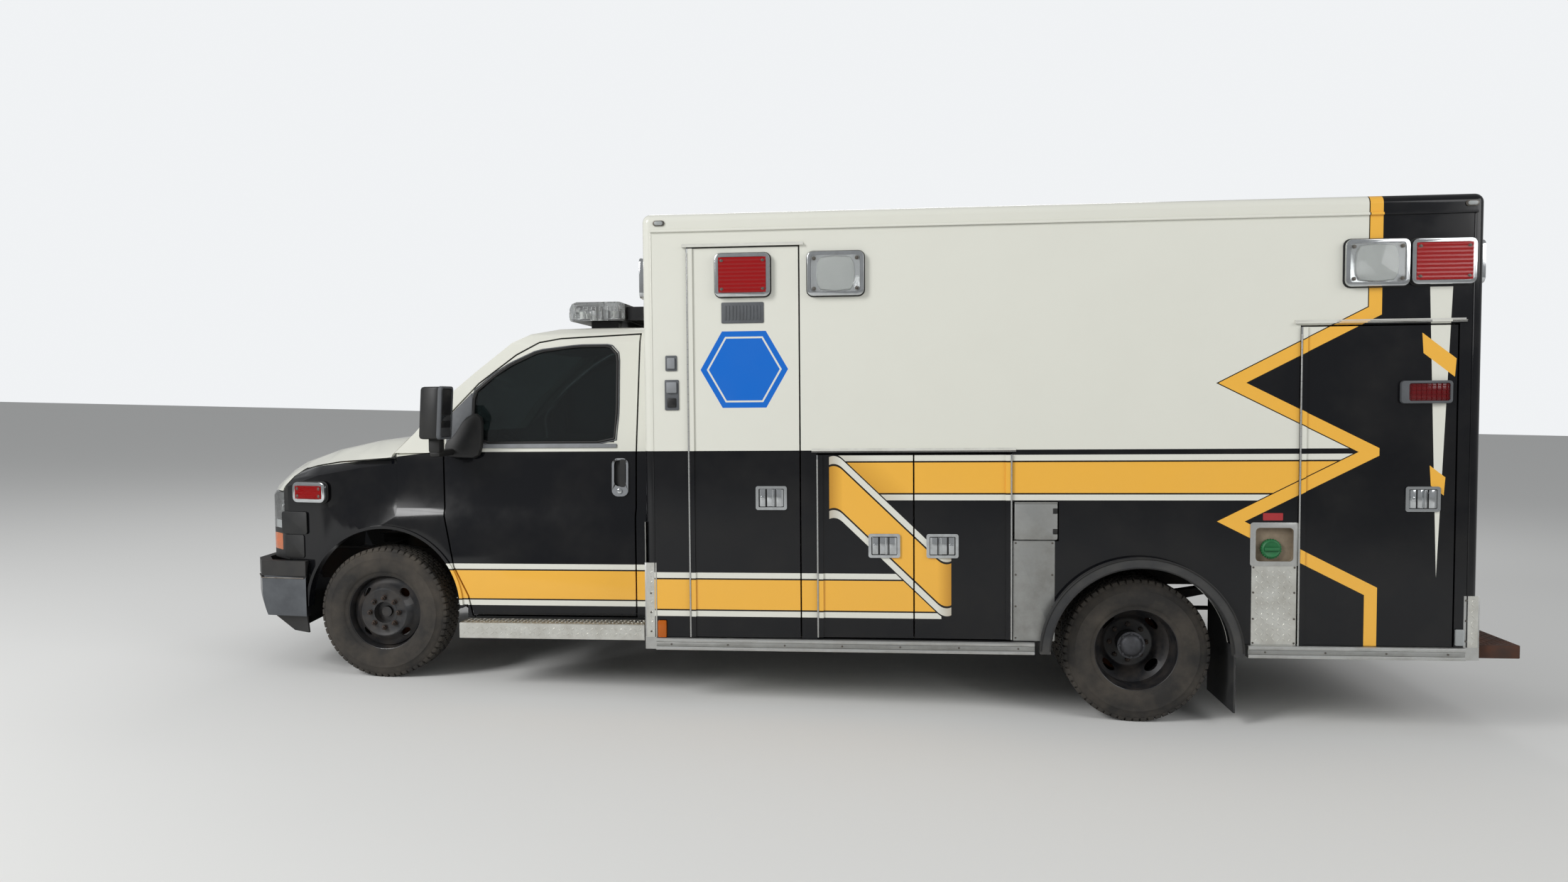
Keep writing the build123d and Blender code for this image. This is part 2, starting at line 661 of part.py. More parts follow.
def front_wheel_form(side):
    """A front wheel: its disc stands near the outer lip, with the hub and the brake disc inside."""
    def out(y):
        return side * (front_wheel_y + y)

    hub_outline = [
        (out(-50), 0), (out(-50), 70), (out(-20), 70), (out(-20), 158), (out(-8), 158), (out(-8), 62),
        (out(118), 62), (out(126), 50), (out(126), 0),
    ]
    with BuildPart() as wheel:
        for outline in (*rim(front_wheel_y, side, 84), hub_outline):
            add(wheel_ring(outline, 0, front_hub_z))
        rod((0, out(-60), front_hub_z), (0, out(66), front_hub_z), spindle_radius + running_gap,
            mode=Mode.SUBTRACT)
        with BuildSketch(Plane(origin=(0, out(-10), front_hub_z), z_dir=(0, side, 0))):
            with PolarLocations(hand_hole_circle, 4, start_angle=45):
                RegularPolygon(hand_hole_radius, 8)
        extrude(amount=140, mode=Mode.SUBTRACT)
    return wheel.part


def rear_wheels_form(side):
    """Twin rear wheels: two rims whose discs meet at the hub's flange."""
    flange_y = (rear_outer_y + rear_inner_y) / 2
    reach = flange_y - rear_outer_y + 5
    hub_outline = [
        (side * 700, 0), (side * 700, 100), (side * 735, 100), (side * 735, 168), (side * 880, 168),
        (side * 880, 90), (side * (flange_y + 20), 70), (side * 1030, 70), (side * 1044, 52), (side * 1044,
                0),
    ]
    with BuildPart() as wheels:
        for outline in (*rim(rear_outer_y, side, reach), *rim(rear_inner_y, side, -reach), hub_outline):
            add(wheel_ring(outline, wheelbase, rear_hub_z))
        rod((wheelbase, side * 690, rear_hub_z), (wheelbase, side * 1016, rear_hub_z),
            rear_spindle_radius + running_gap, mode=Mode.SUBTRACT)
        for wheel_y, around in ((rear_outer_y, -135), (rear_inner_y, 65)):
            with BuildSketch(Plane(origin=(wheelbase, side * (wheel_y + around), rear_hub_z),
                                   z_dir=(0, side, 0))):
                with PolarLocations(hand_hole_circle, 4, start_angle=45):
                    RegularPolygon(hand_hole_radius, 8)
            extrude(amount=70, mode=Mode.SUBTRACT)
    return wheels.part


for side, name in ((-1, "left"), (1, "right")):
    keep(f"front_wheel_{name}", front_wheel_form(side))
    keep(f"front_tyre_{name}", wheel_ring([(side * (front_wheel_y + y), r) for y, r in tyre_outline], 0,
                                          front_hub_z))
    keep(f"rear_wheels_{name}", rear_wheels_form(side))
    tyres = [
        wheel_ring([(side * (wheel_y + y), r) for y, r in tyre_outline], wheelbase, rear_hub_z)
        for wheel_y in (rear_outer_y, rear_inner_y)
    ]
    keep(f"rear_tyres_{name}", Compound(children=tyres))

# Rear axle: tube, differential, brake plates and leaf springs hung from the rails
with BuildPart() as rear_axle:
    rod((wheelbase, -690, rear_hub_z), (wheelbase, 690, rear_hub_z), 62)
    rod((wheelbase, -1014, rear_hub_z), (wheelbase, 1014, rear_hub_z), rear_spindle_radius)
    rod((wheelbase, -70, rear_hub_z), (wheelbase, 110, rear_hub_z), 185)
    block((wheelbase - 260, wheelbase - 40), (-60, 60), (rear_hub_z - 40, rear_hub_z + 60))
    for side in (-1, 1):
        spring_side = [
            (wheelbase - 640, 440), (wheelbase, rear_hub_z + 55), (wheelbase + 640, 440), (wheelbase + 640,
                    470),
            (wheelbase + 600, 470), (wheelbase, rear_hub_z + 125), (wheelbase - 600, 470), (wheelbase - 640,
                    470),
        ]
        add(side_prism(spring_side, side * 355, side * 429))
keep("rear_axle", rear_axle.part)

with BuildPart() as exhaust:
    exhaust_y = 250
    rod((engine_rear - 120, exhaust_y - 60, 470), (engine_rear + 120, exhaust_y, 400), 32)
    rod((engine_rear + 110, exhaust_y, 400), (2500, exhaust_y, 400), 32)
    rod((2000, exhaust_y, 400), (2700, exhaust_y, 400), 95)
    rod((2650, exhaust_y, 400), (3290, exhaust_y + 70, 400), 30)
    block((2120, 2160), (exhaust_y - 15, exhaust_y + 15), (480, rail_bottom + 40))
    add(engine.part, mode=Mode.SUBTRACT)
keep("exhaust", exhaust.part)

with BuildPart() as fuel_tank:
    block((4720, 5420), (-340, 340), (330, 505))
    fillet(fuel_tank.edges().filter_by(Axis.X), radius=50)
    for x in (4860, 5280):
        block((x - 30, x + 30), (-rail_y + rail_flange, rail_y - rail_flange), (505, 560))
keep("fuel_tank", fuel_tank.part)

# Module: one outer form, cut into its walls and roof
inner_y = module_half_width - wall
inner_front, inner_rear, inner_top = module_front + wall, module_rear - wall, module_top - wall
with BuildPart() as module_form:
    block((module_front, module_rear), (-module_half_width, module_half_width), (module_bottom, module_top))
    fillet(module_form.edges().filter_by(Axis.Z) + module_form.faces().sort_by(Axis.Z)[-1].edges(),
           radius=corner_radius)

with BuildPart() as module_roof:
    add(module_form.part)
    block((module_front, module_rear), (-2000, 2000), (inner_top, module_top), mode=Mode.INTERSECT)
keep("module_roof", module_roof.part)


def side_wall(side, cut_lids):
    """A side wall with its lid openings and wheel arch."""
    with BuildPart() as piece:
        add(module_form.part)
        block((module_front, module_rear), (side * inner_y, side * 2000), (0, inner_top), mode=Mode.INTERSECT)
        for lid_side, front, rear, bottom, top, _, _ in cut_lids:
            block((front - lid_gap, rear + lid_gap), (side * 1000, side * 1400),
                  (bottom - lid_gap, top + lid_gap),
                  mode=Mode.SUBTRACT)
        with Locations(Plane(origin=(wheelbase, side * 1100, rear_hub_z - 7), z_dir=(0, side, 0))):
            Cylinder(flare_radius, 400, mode=Mode.SUBTRACT)
        if side < 0:
            block((flap[0] - lid_gap, flap[1] + lid_gap), (-1400, -1000),
                  (flap[2] - lid_gap, flap[3] + lid_gap),
                  mode=Mode.SUBTRACT)
            block((4582, 4776), (-1400, -module_half_width + 30), (706, 886), mode=Mode.SUBTRACT)
            rod((4666, -module_half_width + 40, 774), (4666, -module_half_width + 8, 774), 45)
        for rail_side, front, rear, z in drip_rails:
            if rail_side == side:
                block((front, rear), (side * (module_half_width - 5), side * (module_half_width + 16)),
                      (z, z + 8))
        block((1595, 5581), (side * (module_half_width - 5), side * (module_half_width + 10)),
              (gutter_z, gutter_z + 12))
    return piece.part


for side, name in ((-1, "left"), (1, "right")):
    keep(f"module_{name}_wall", side_wall(side, [row for row in lids.values() if row[0] == side]))

with BuildPart() as module_front_wall:
    block((module_front, inner_front), (-inner_y, inner_y), (module_bottom, inner_top))
    block((module_front, inner_front), (-660, 660), (0, module_floor_top - wall), mode=Mode.SUBTRACT)
    block((module_front - 50, inner_front + 10), (-260, 260), (1050, 1600), mode=Mode.SUBTRACT)
    block((cab_rear + 2, module_front), (-300, 300), (1010, 1640))
    block((cab_rear, module_front + 10), (-260, 260), (1050, 1600), mode=Mode.SUBTRACT)
keep("module_front_wall", module_front_wall.part)

with BuildPart() as module_rear_wall:
    block((inner_rear, module_rear), (-inner_y, inner_y), (module_bottom, inner_top))
    block((inner_rear - 10, module_rear + 10), (-rear_door_half - lid_gap, rear_door_half + lid_gap),
          (rear_door_bottom - lid_gap, rear_door_top + lid_gap), mode=Mode.SUBTRACT)
keep("module_rear_wall", module_rear_wall.part)

# Compartments behind the lids: open boxes, with the cabinets that stand in the patient space
for side, name in ((-1, "left"), (1, "right")):
    rows = [(key, row) for key, row in lids.items() if row[0] == side and key != "entry_door"]
    boxes = []
    for key, (_, front, rear, bottom, top, _, _) in rows:
        if key == "middle_lid_left":
            boxes[-1] = (boxes[-1][0], rear, bottom, top)
        else:
            boxes.append((front, rear, bottom, top))
    with BuildPart() as cabinets:
        for front, rear, bottom, top in boxes:
            outer = lid_gap + sheet
            block((front - outer, rear + outer), (side * inner_y, side * (inner_y - compartment_depth)),
                  (bottom - lid_gap - 4, top + outer))
        if side < 0:
            block((2366, 4783), (-inner_y, -inner_y + 380), (1500, 2350))
        for front, rear, bottom, top in boxes:
            block((front - lid_gap, rear + lid_gap), (side * (inner_y + 10),
                                                      side * (inner_y - compartment_depth + sheet)),
                  (bottom - lid_gap + 4, top + lid_gap), mode=Mode.SUBTRACT)
        if side > 0:
            block((3250, 4700), (inner_y - 460, inner_y), (module_floor_top, 1140))
            block((3255, 4695), (inner_y - 455, inner_y - 5), (1140, 1200))
    keep(f"{name}_cabinets", cabinets.part)

# Module floor on its bearers, cut round the compartments and the entry's step well
with BuildPart() as module_floor:
    block((inner_front, inner_rear), (-inner_y, inner_y), (module_floor_top - wall, module_floor_top))
    for x in (1640, 2250, 3450, 4480, 5470):
        block((x, x + 80), (-640, 640), (rail_bottom + rail_height, module_floor_top - wall))
    for side, front, rear in ((-1, 1761, 2366), (-1, 2421, 3425), (-1, 4775, 5529), (1, 1630, 2170),
                              (1, 4775, 5529)):
        block((front, rear), (side * (inner_y - compartment_depth), side * 1300), (0, 1000),
              mode=Mode.SUBTRACT)
    block((2330, 3110), (inner_y - 330, 1300), (600, 1000), mode=Mode.SUBTRACT)
    block((2330, 3110), (inner_y - 342, inner_y - 330), (330, module_floor_top))
    block((2330, 3110), (inner_y - 342, inner_y), (330, 342))
keep("module_floor", module_floor.part)


def latch(side, x, z, key_ahead):
    """A paddle latch for a lid: a round-cornered frame, with the grip plate and the key plate in its tray."""
    key_side = -1 if key_ahead else 1
    floor_y = side * (module_half_width - latch_tray)
    with BuildPart() as made:
        with BuildSketch(Plane(origin=(x, side * module_half_width, z), x_dir=(1, 0, 0), z_dir=(0, side, 0))):
            RectangleRounded(latch_width, latch_height, 12)
            RectangleRounded(latch_width - 30, latch_height - 28, 5, mode=Mode.SUBTRACT)
        extrude(amount=latch_stand)
        for near, far, stand in ((4, 14, 16), (14, 46, 8), (46, 62, 17), (-60, -8, 7)):
            xs = sorted((x - key_side * near, x - key_side * far))
            block(xs, sorted((floor_y, floor_y + side * stand)),
                  (z - latch_height / 2 + 18, z + latch_height / 2 - 18))
    return made.part


# Lids and doors of the module
for key, (side, front, rear, bottom, top, hinge, window) in lids.items():
    with BuildPart() as lid:
        skin_y = side * module_half_width
        block((front, rear), (skin_y, skin_y - side * lid_thickness), (bottom, top))
        if window:
            block(window[:2], (side * 1000, side * 1300), window[2:], mode=Mode.SUBTRACT)
            block(window[:2], (skin_y - side * 18, skin_y - side * 24), window[2:])
        edge, inward = (front, 1) if hinge == "front" else (rear, -1)
        barrel = (edge - inward * lid_gap / 2, skin_y + side * hinge_reach)
        rod((*barrel, bottom), (*barrel, top), hinge_radius)
        block((barrel[0] + inward * 3, barrel[0] + inward * hinge_leaf), (skin_y, barrel[1]), (bottom, top))
        for lid_name, x, z, key_ahead in latches:
            if lid_name == key:
                block((x - latch_width / 2 + 15, x + latch_width / 2 - 15),
                      (skin_y, skin_y - side * latch_tray),
                      (z - latch_height / 2 + 14, z + latch_height / 2 - 14), mode=Mode.SUBTRACT)
                add(latch(side, x, z, key_ahead))
    keep(key, lid.part)

with BuildPart() as service_flap:
    block(flap[:2], (-module_half_width, -module_half_width + sheet), flap[2:])
    barrel = (-module_half_width - hinge_reach, flap[3] + lid_gap / 2)
    rod((flap[0], *barrel), (flap[1], *barrel), hinge_radius)
    block(flap[:2], (barrel[0], -module_half_width), (barrel[1] - hinge_leaf, barrel[1] - 3))
keep("service_flap", service_flap.part)

for side, name in ((-1, "left"), (1, "right")):
    with BuildPart() as rear_door:
        block((module_rear - lid_thickness, module_rear), (side * (lid_gap / 2), side * rear_door_half),
              (rear_door_bottom, rear_door_top))
        near, far, low, high = rear_window
        block((module_rear - 100, module_rear + 10), (side * near, side * far), (low, high),
              mode=Mode.SUBTRACT)
        block((module_rear - 24, module_rear - 18), (side * near, side * far), (low, high))
        barrel = (module_rear + hinge_reach, side * (rear_door_half + lid_gap / 2))
        rod((*barrel, rear_door_bottom), (*barrel, rear_door_top), hinge_radius)
        block((module_rear, barrel[0]), (barrel[1] - side * 3, barrel[1] - side * hinge_leaf),
              (rear_door_bottom, rear_door_top))
    keep(f"rear_door_{name}", rear_door.part)

# Warning lights, scene lights and markers, each standing proud of its wall
with BuildPart() as warning_lights:
    for side, front, rear, bottom, top in side_lamps:
        place = ((front + rear) / 2, side * module_half_width, (bottom + top) / 2)
        add(surface_lamp(place, (0, side, 0), rear - front, top - bottom))
    for x, facing, lamps in ((module_front, -1, front_lamps), (module_rear, 1, rear_lamps)):
        for half, width, bottom, top in lamps:
            for side in (-1, 1):
                add(surface_lamp((x, side * half, (bottom + top) / 2), (facing, 0, 0), width, top - bottom))
keep("warning_lights", warning_lights.part)

with BuildPart() as lid_light:
    front, rear, bottom, top = lid_lamp
    place = ((front + rear) / 2, -module_half_width, (bottom + top) / 2)
    add(surface_lamp(place, (0, -1, 0), rear - front, top - bottom))
keep("front_lid_light", lid_light.part)

# Rub rails below the walls, corner guards, wheel flares and mud flaps
with BuildPart() as rub_rails:
    for side in (-1, 1):
        for front, rear in ((1597, 3522), (4552, 5562)):
            block((front, rear), (side * (module_half_width - 40), side * (module_half_width + 22)),
                  (239, module_bottom))
        block((1537, 1597), (side * (module_half_width - 40), side * (module_half_width + 4)),
              (239, module_bottom))
        block((5562, 5632), (side * (module_half_width - 40), side * (module_half_width + 4)),
              (239, module_bottom))
keep("rub_rails", rub_rails.part)

with BuildPart() as wheel_flares:
    for side in (-1, 1):
        flare_plane = Plane(origin=(wheelbase, side * module_half_width, rear_hub_z - 7), z_dir=(0, side, 0))
        with BuildSketch(flare_plane):
            Circle(flare_radius + flare_width)
            Circle(flare_radius, mode=Mode.SUBTRACT)
        extrude(amount=flare_stand)
    block((3000, 5000), (-1400, 1400), (rear_hub_z, 1000), mode=Mode.INTERSECT)
    for side in (-1, 1):
        block((4510, 4518), (side * 690, side * 1160), (-60, module_floor_top - wall))
keep("wheel_flares", wheel_flares.part)

with BuildPart() as rear_step:
    block((module_rear + 5, 5840), (-1175, 1175), (242, 300))
    block((module_rear + 30, 5810), (-1150, 1150), (230, 292), mode=Mode.SUBTRACT)
    for side in (-1, 1):
        block((rail_rear - 80, 5820), (side * (rail_y - 60), side * rail_y), (244, 296))
        block((rail_rear - 80, rail_rear - 20), (side * (rail_y - 60), side * rail_y), (244, rail_bottom))
        block((5745, 5825), (side * (rail_y - 22), side * rail_y), (185, 246))
        rod((tow_eye_x, side * (rail_y - 30), tow_eye_z), (tow_eye_x, side * (rail_y + 10), tow_eye_z),
            tow_eye_radius,
            mode=Mode.SUBTRACT)
keep("rear_step", rear_step.part)

# Mirrors on the cab's doors: a tall tapered head on an arm, from a foot that closes the quarter window
mirror_plan = [(470, -81), (470, 81), (430, 82), (376, 70), (345, 45), (334, 0), (345, -45), (376, -70),
               (430, -82)]
mirror_foot = [
    (380, 1240), (380, 1310), (425, 1345), (480, 1440), (540, 1470), (584, 1440), (590, 1300), (575,
            1225), (420, 1228),
]
with BuildPart() as mirror_left:
    with BuildSketch(Plane.XY.offset(mirror_bottom)):
        with BuildLine():
            Polyline(*[(x, y - mirror_y) for x, y in mirror_plan], close=True)
        make_face()
    extrude(amount=mirror_height)
    fillet(mirror_left.edges().filter_by(Axis.Z, reverse=True), radius=12)
    block((464, 480), (-mirror_y - 68, -mirror_y + 68), (mirror_bottom + 14,
                                                         mirror_bottom + mirror_height - 14),
          mode=Mode.SUBTRACT)
    add(side_prism(mirror_foot, -1010, -900))
    block((380, 440), (-mirror_y - 25, -960), (1240, 1276))
    block((380, 440), (-mirror_y - 25, -mirror_y + 40), (1270, mirror_bottom + 10))
    add(glass_inner, mode=Mode.SUBTRACT)
    add(cab_door_left.part, mode=Mode.SUBTRACT)
    add(front_skin.part, mode=Mode.SUBTRACT)
keep("mirror_left", mirror_left.part)
with BuildPart() as mirror_right:
    mirror(mirror_left.part, about=Plane.XZ)
keep("mirror_right", mirror_right.part)

# Parked stance: turned about Y until both axles stand at one height, then set over the origin
lean = Rotation(0, -degrees(caster), 0)
whole = Compound(children=[lean * part for part in finished.values()]).bounding_box()
hub_height = front_hub_z * cos(caster)
stance = Location((-(whole.min.X + whole.max.X) / 2, 0, tyre_radius - hub_height)) * Location(lean)
for name, part in finished.items():
    placed = part.moved(stance)
    placed.label = name
    export_step(placed, f"parts/{name}.step")
print("stance turn", round(degrees(caster), 4), "shift", [round(v, 3) for v in stance.position])
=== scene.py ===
import json
import math
import random

import bpy
from mathutils import Matrix, Vector


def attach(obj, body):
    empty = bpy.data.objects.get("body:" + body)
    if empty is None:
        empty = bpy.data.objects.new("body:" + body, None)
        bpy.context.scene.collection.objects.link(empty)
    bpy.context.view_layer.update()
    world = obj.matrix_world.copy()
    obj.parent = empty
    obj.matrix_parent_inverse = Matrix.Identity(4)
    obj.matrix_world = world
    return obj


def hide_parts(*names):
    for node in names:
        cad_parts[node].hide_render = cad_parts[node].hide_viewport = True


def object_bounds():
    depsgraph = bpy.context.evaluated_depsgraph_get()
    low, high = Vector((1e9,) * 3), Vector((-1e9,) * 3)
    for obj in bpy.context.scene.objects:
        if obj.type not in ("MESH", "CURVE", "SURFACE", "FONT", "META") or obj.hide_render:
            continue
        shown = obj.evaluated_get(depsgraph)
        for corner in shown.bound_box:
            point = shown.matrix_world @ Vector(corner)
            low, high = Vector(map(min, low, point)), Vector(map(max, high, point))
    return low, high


bl_info = {
    "name": "Ambulance Dressing",
    "version": (1, 0, 0),
    "blender": (4, 5, 0),
    "location": "3D View > Sidebar > Ambulance",
    "description": "Dresses a box-body ambulance: paint, glass, lamps, wheels and fittings",
    "category": "Object",
}

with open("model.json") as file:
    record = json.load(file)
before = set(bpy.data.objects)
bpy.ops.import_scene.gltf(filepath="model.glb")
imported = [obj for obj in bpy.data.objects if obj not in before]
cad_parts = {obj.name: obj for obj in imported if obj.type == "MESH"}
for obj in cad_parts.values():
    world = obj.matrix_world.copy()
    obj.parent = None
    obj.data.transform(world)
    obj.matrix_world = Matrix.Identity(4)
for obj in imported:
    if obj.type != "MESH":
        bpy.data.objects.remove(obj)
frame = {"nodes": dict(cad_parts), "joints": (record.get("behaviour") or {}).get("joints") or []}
cad_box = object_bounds()

# Sizes of the frame, in metres, in the body's own level frame: X rearwards from the front axle, Y to the
# right, Z up from the ground under the front axle. Pieces are made there and then set into the parked stance.
WHEELBASE = 4.039
FRONT_HUB = 0.363
REAR_HUB = 0.247
TYRE_RADIUS = 0.363
FRONT_WHEEL_Y = 0.874
REAR_OUTER_Y = 1.056
REAR_INNER_Y = 0.788
SIDE = 1.219
MODULE_FRONT = 1.542
MODULE_REAR = 5.628
MODULE_TOP = 2.482
# Depth below the outer faces from which a wall shows its inner coat
INNER_FACE = 0.045
BELT = 1.268

# Lids and doors of the sides: node, side, front, rear, bottom, top, hinge edge
LIDS = (
    ("front_lid_left", -1, 1.781, 2.346, 0.305, 2.3, "front"),
    ("lower_lid_left", -1, 2.441, 2.92, 0.311, 1.245, "front"),
    ("middle_lid_left", -1, 2.928, 3.405, 0.311, 1.245, "rear"),
    ("rear_lid_left", -1, 4.795, 5.509, 0.302, 1.857, "front"),
    ("front_lid_right", 1, 1.65, 2.15, 0.305, 1.96, "front"),
    ("entry_door", 1, 2.33, 3.11, 0.305, 2.23, "front"),
    ("rear_lid_right", 1, 4.795, 5.509, 0.302, 1.857, "front"),
)


def parked_stance():
    """From the body's level frame to the row frame, where the vehicle stands a little nose-down."""
    spin = next(j for j in frame["joints"] if j["name"] == "rear_wheels_left_spin")
    turn = Matrix.Rotation(-math.atan2(FRONT_HUB - REAR_HUB, WHEELBASE), 4, "Y")
    hub = Vector(spin["pos_m"])
    return Matrix.Translation(hub - turn @ Vector((WHEELBASE, hub.y, REAR_HUB))) @ turn


STANCE = parked_stance()


def linear(code):
    """A colour's linear values, from its sRGB hex code."""
    parts = [int(code[i:i + 2], 16) / 255 for i in (1, 3, 5)]
    return tuple(c / 12.92 if c <= 0.04045 else ((c + 0.055) / 1.055) ** 2.4 for c in parts) + (1.0,)


def add_node(tree, kind, inputs=(), **settings):
    """Adds a node with its settings. An input, by name or number, takes a node, a socket or a value."""
    new = tree.nodes.new(kind)
    for key, value in settings.items():
        setattr(new, key, value)
    for key, value in (inputs.items() if isinstance(inputs, dict) else enumerate(inputs)):
        if value is None:
            continue
        if isinstance(value, bpy.types.Node):
            value = value.outputs[0]
        if isinstance(value, bpy.types.NodeSocket):
            tree.links.new(value, new.inputs[key])
        else:
            new.inputs[key].default_value = value
    return new


def maths(tree, operation, *inputs):
    """Adds a maths node with its operation and inputs."""
    return add_node(tree, "ShaderNodeMath", inputs, operation=operation)


def ramp(tree, value, start, end, low=0.0, high=1.0):
    """Brings a value from one range into another, held at its ends."""
    limits = {"Value": value, "From Min": start, "From Max": end, "To Min": low, "To Max": high}
    return add_node(tree, "ShaderNodeMapRange", limits)


def clouds(tree, place, scale, detail, rough=0.5):
    """Soft noise in space."""
    return add_node(tree, "ShaderNodeTexNoise", {"Vector": place, "Scale": scale, "Detail": detail,
                                                 "Roughness": rough})


def new_material(name):
    """An empty node material, its tree and its shader, already linked to the output."""
    made = bpy.data.materials.new(name)
    made.use_nodes = True
    tree = made.node_tree
    return made, tree, tree.nodes["Principled BSDF"]


def level_place(tree):
    """Object coordinates turned back into the body's level frame, so that stripes follow the body."""
    place = add_node(tree, "ShaderNodeTexCoord")
    back = STANCE.inverted()
    turned = add_node(tree, "ShaderNodeMapping", {"Vector": place.outputs["Object"]}, vector_type="POINT")
    turned.inputs["Location"].default_value = back.to_translation()
    turned.inputs["Rotation"].default_value = back.to_euler()
    return turned


# Paint and stripes, in metres in the body's level frame
# Ribbon: heights of its two runs, place of its fold, half widths of its gold, line and edge
RIBBON_UPPER = 1.128
RIBBON_LOWER = 0.525
RIBBON_FOLD = 2.54
RIBBON_GOLD = 0.077
RIBBON_LINE = 0.085
RIBBON_EDGE = 0.114
# The fold: direction across it, its front and rear end
FOLD_SLOPE = (0.6914, 0.7225)
FOLD_FRONT = 2.497
FOLD_REAR = 3.111
# Rear field: heights of its teeth's tips, where the teeth start and end, half their height, half the border
TOOTH_TIPS = (1.59, 0.91)
TOOTH_FRONT = 4.47
TOOTH_REAR = 5.13
TOOTH_HALF = 0.34
BORDER = 0.03
# Tapered stripe: X, bottom and top. Badge: X and Z, reach to its flats, and the keyline's limits inside it
STRIPE_X = 5.43
STRIPE_ENDS = (0.64, 2.04)
BADGE_PLACE = (2.067, 1.683)
BADGE_RADIUS = 0.195
BADGE_KEYLINE = (0.158, 0.167)
# The nose's white band: ahead of this X, above this height
NOSE_BAND = -0.577
NOSE_BAND_FOOT = 1.03


class AmbulanceColours(bpy.types.PropertyGroup):
    white: bpy.props.StringProperty(name="White", description="Upper body enamel, sRGB", default="#DCDCD2")
    black: bpy.props.StringProperty(name="Black", description="Lower body enamel, sRGB", default="#0B0C10")
    gold: bpy.props.StringProperty(name="Gold", description="Ribbon and zigzag vinyl, sRGB",
                                   default="#EDB347")
    blue: bpy.props.StringProperty(name="Blue", description="Badge vinyl, sRGB", default="#1268C8")


def apart(tree, value, place):
    """How far a value lies from a place."""
    return maths(tree, "ABSOLUTE", maths(tree, "SUBTRACT", value, place))


def product(tree, first, *others):
    """Values multiplied in turn."""
    for other in others:
        first = maths(tree, "MULTIPLY", first, other)
    return first


def band(tree, value, low, high):
    """One where a value lies between two limits, or else nought."""
    above = maths(tree, "GREATER_THAN", value, low)
    below = maths(tree, "LESS_THAN", value, high)
    return maths(tree, "MULTIPLY", above, below)


def over(tree, mask, below, above):
    """The colour above where the mask is one, and the colour below elsewhere."""
    mixed = add_node(tree, "ShaderNodeMix", {"Factor": mask}, data_type="RGBA")
    for key, colour in (("A", below), ("B", above)):
        socket = next(s for s in mixed.inputs if s.name == key and s.type == "RGBA")
        if isinstance(colour, bpy.types.NodeSocket):
            tree.links.new(colour, socket)
        else:
            socket.default_value = colour
    return next(s for s in mixed.outputs if s.type == "RGBA")


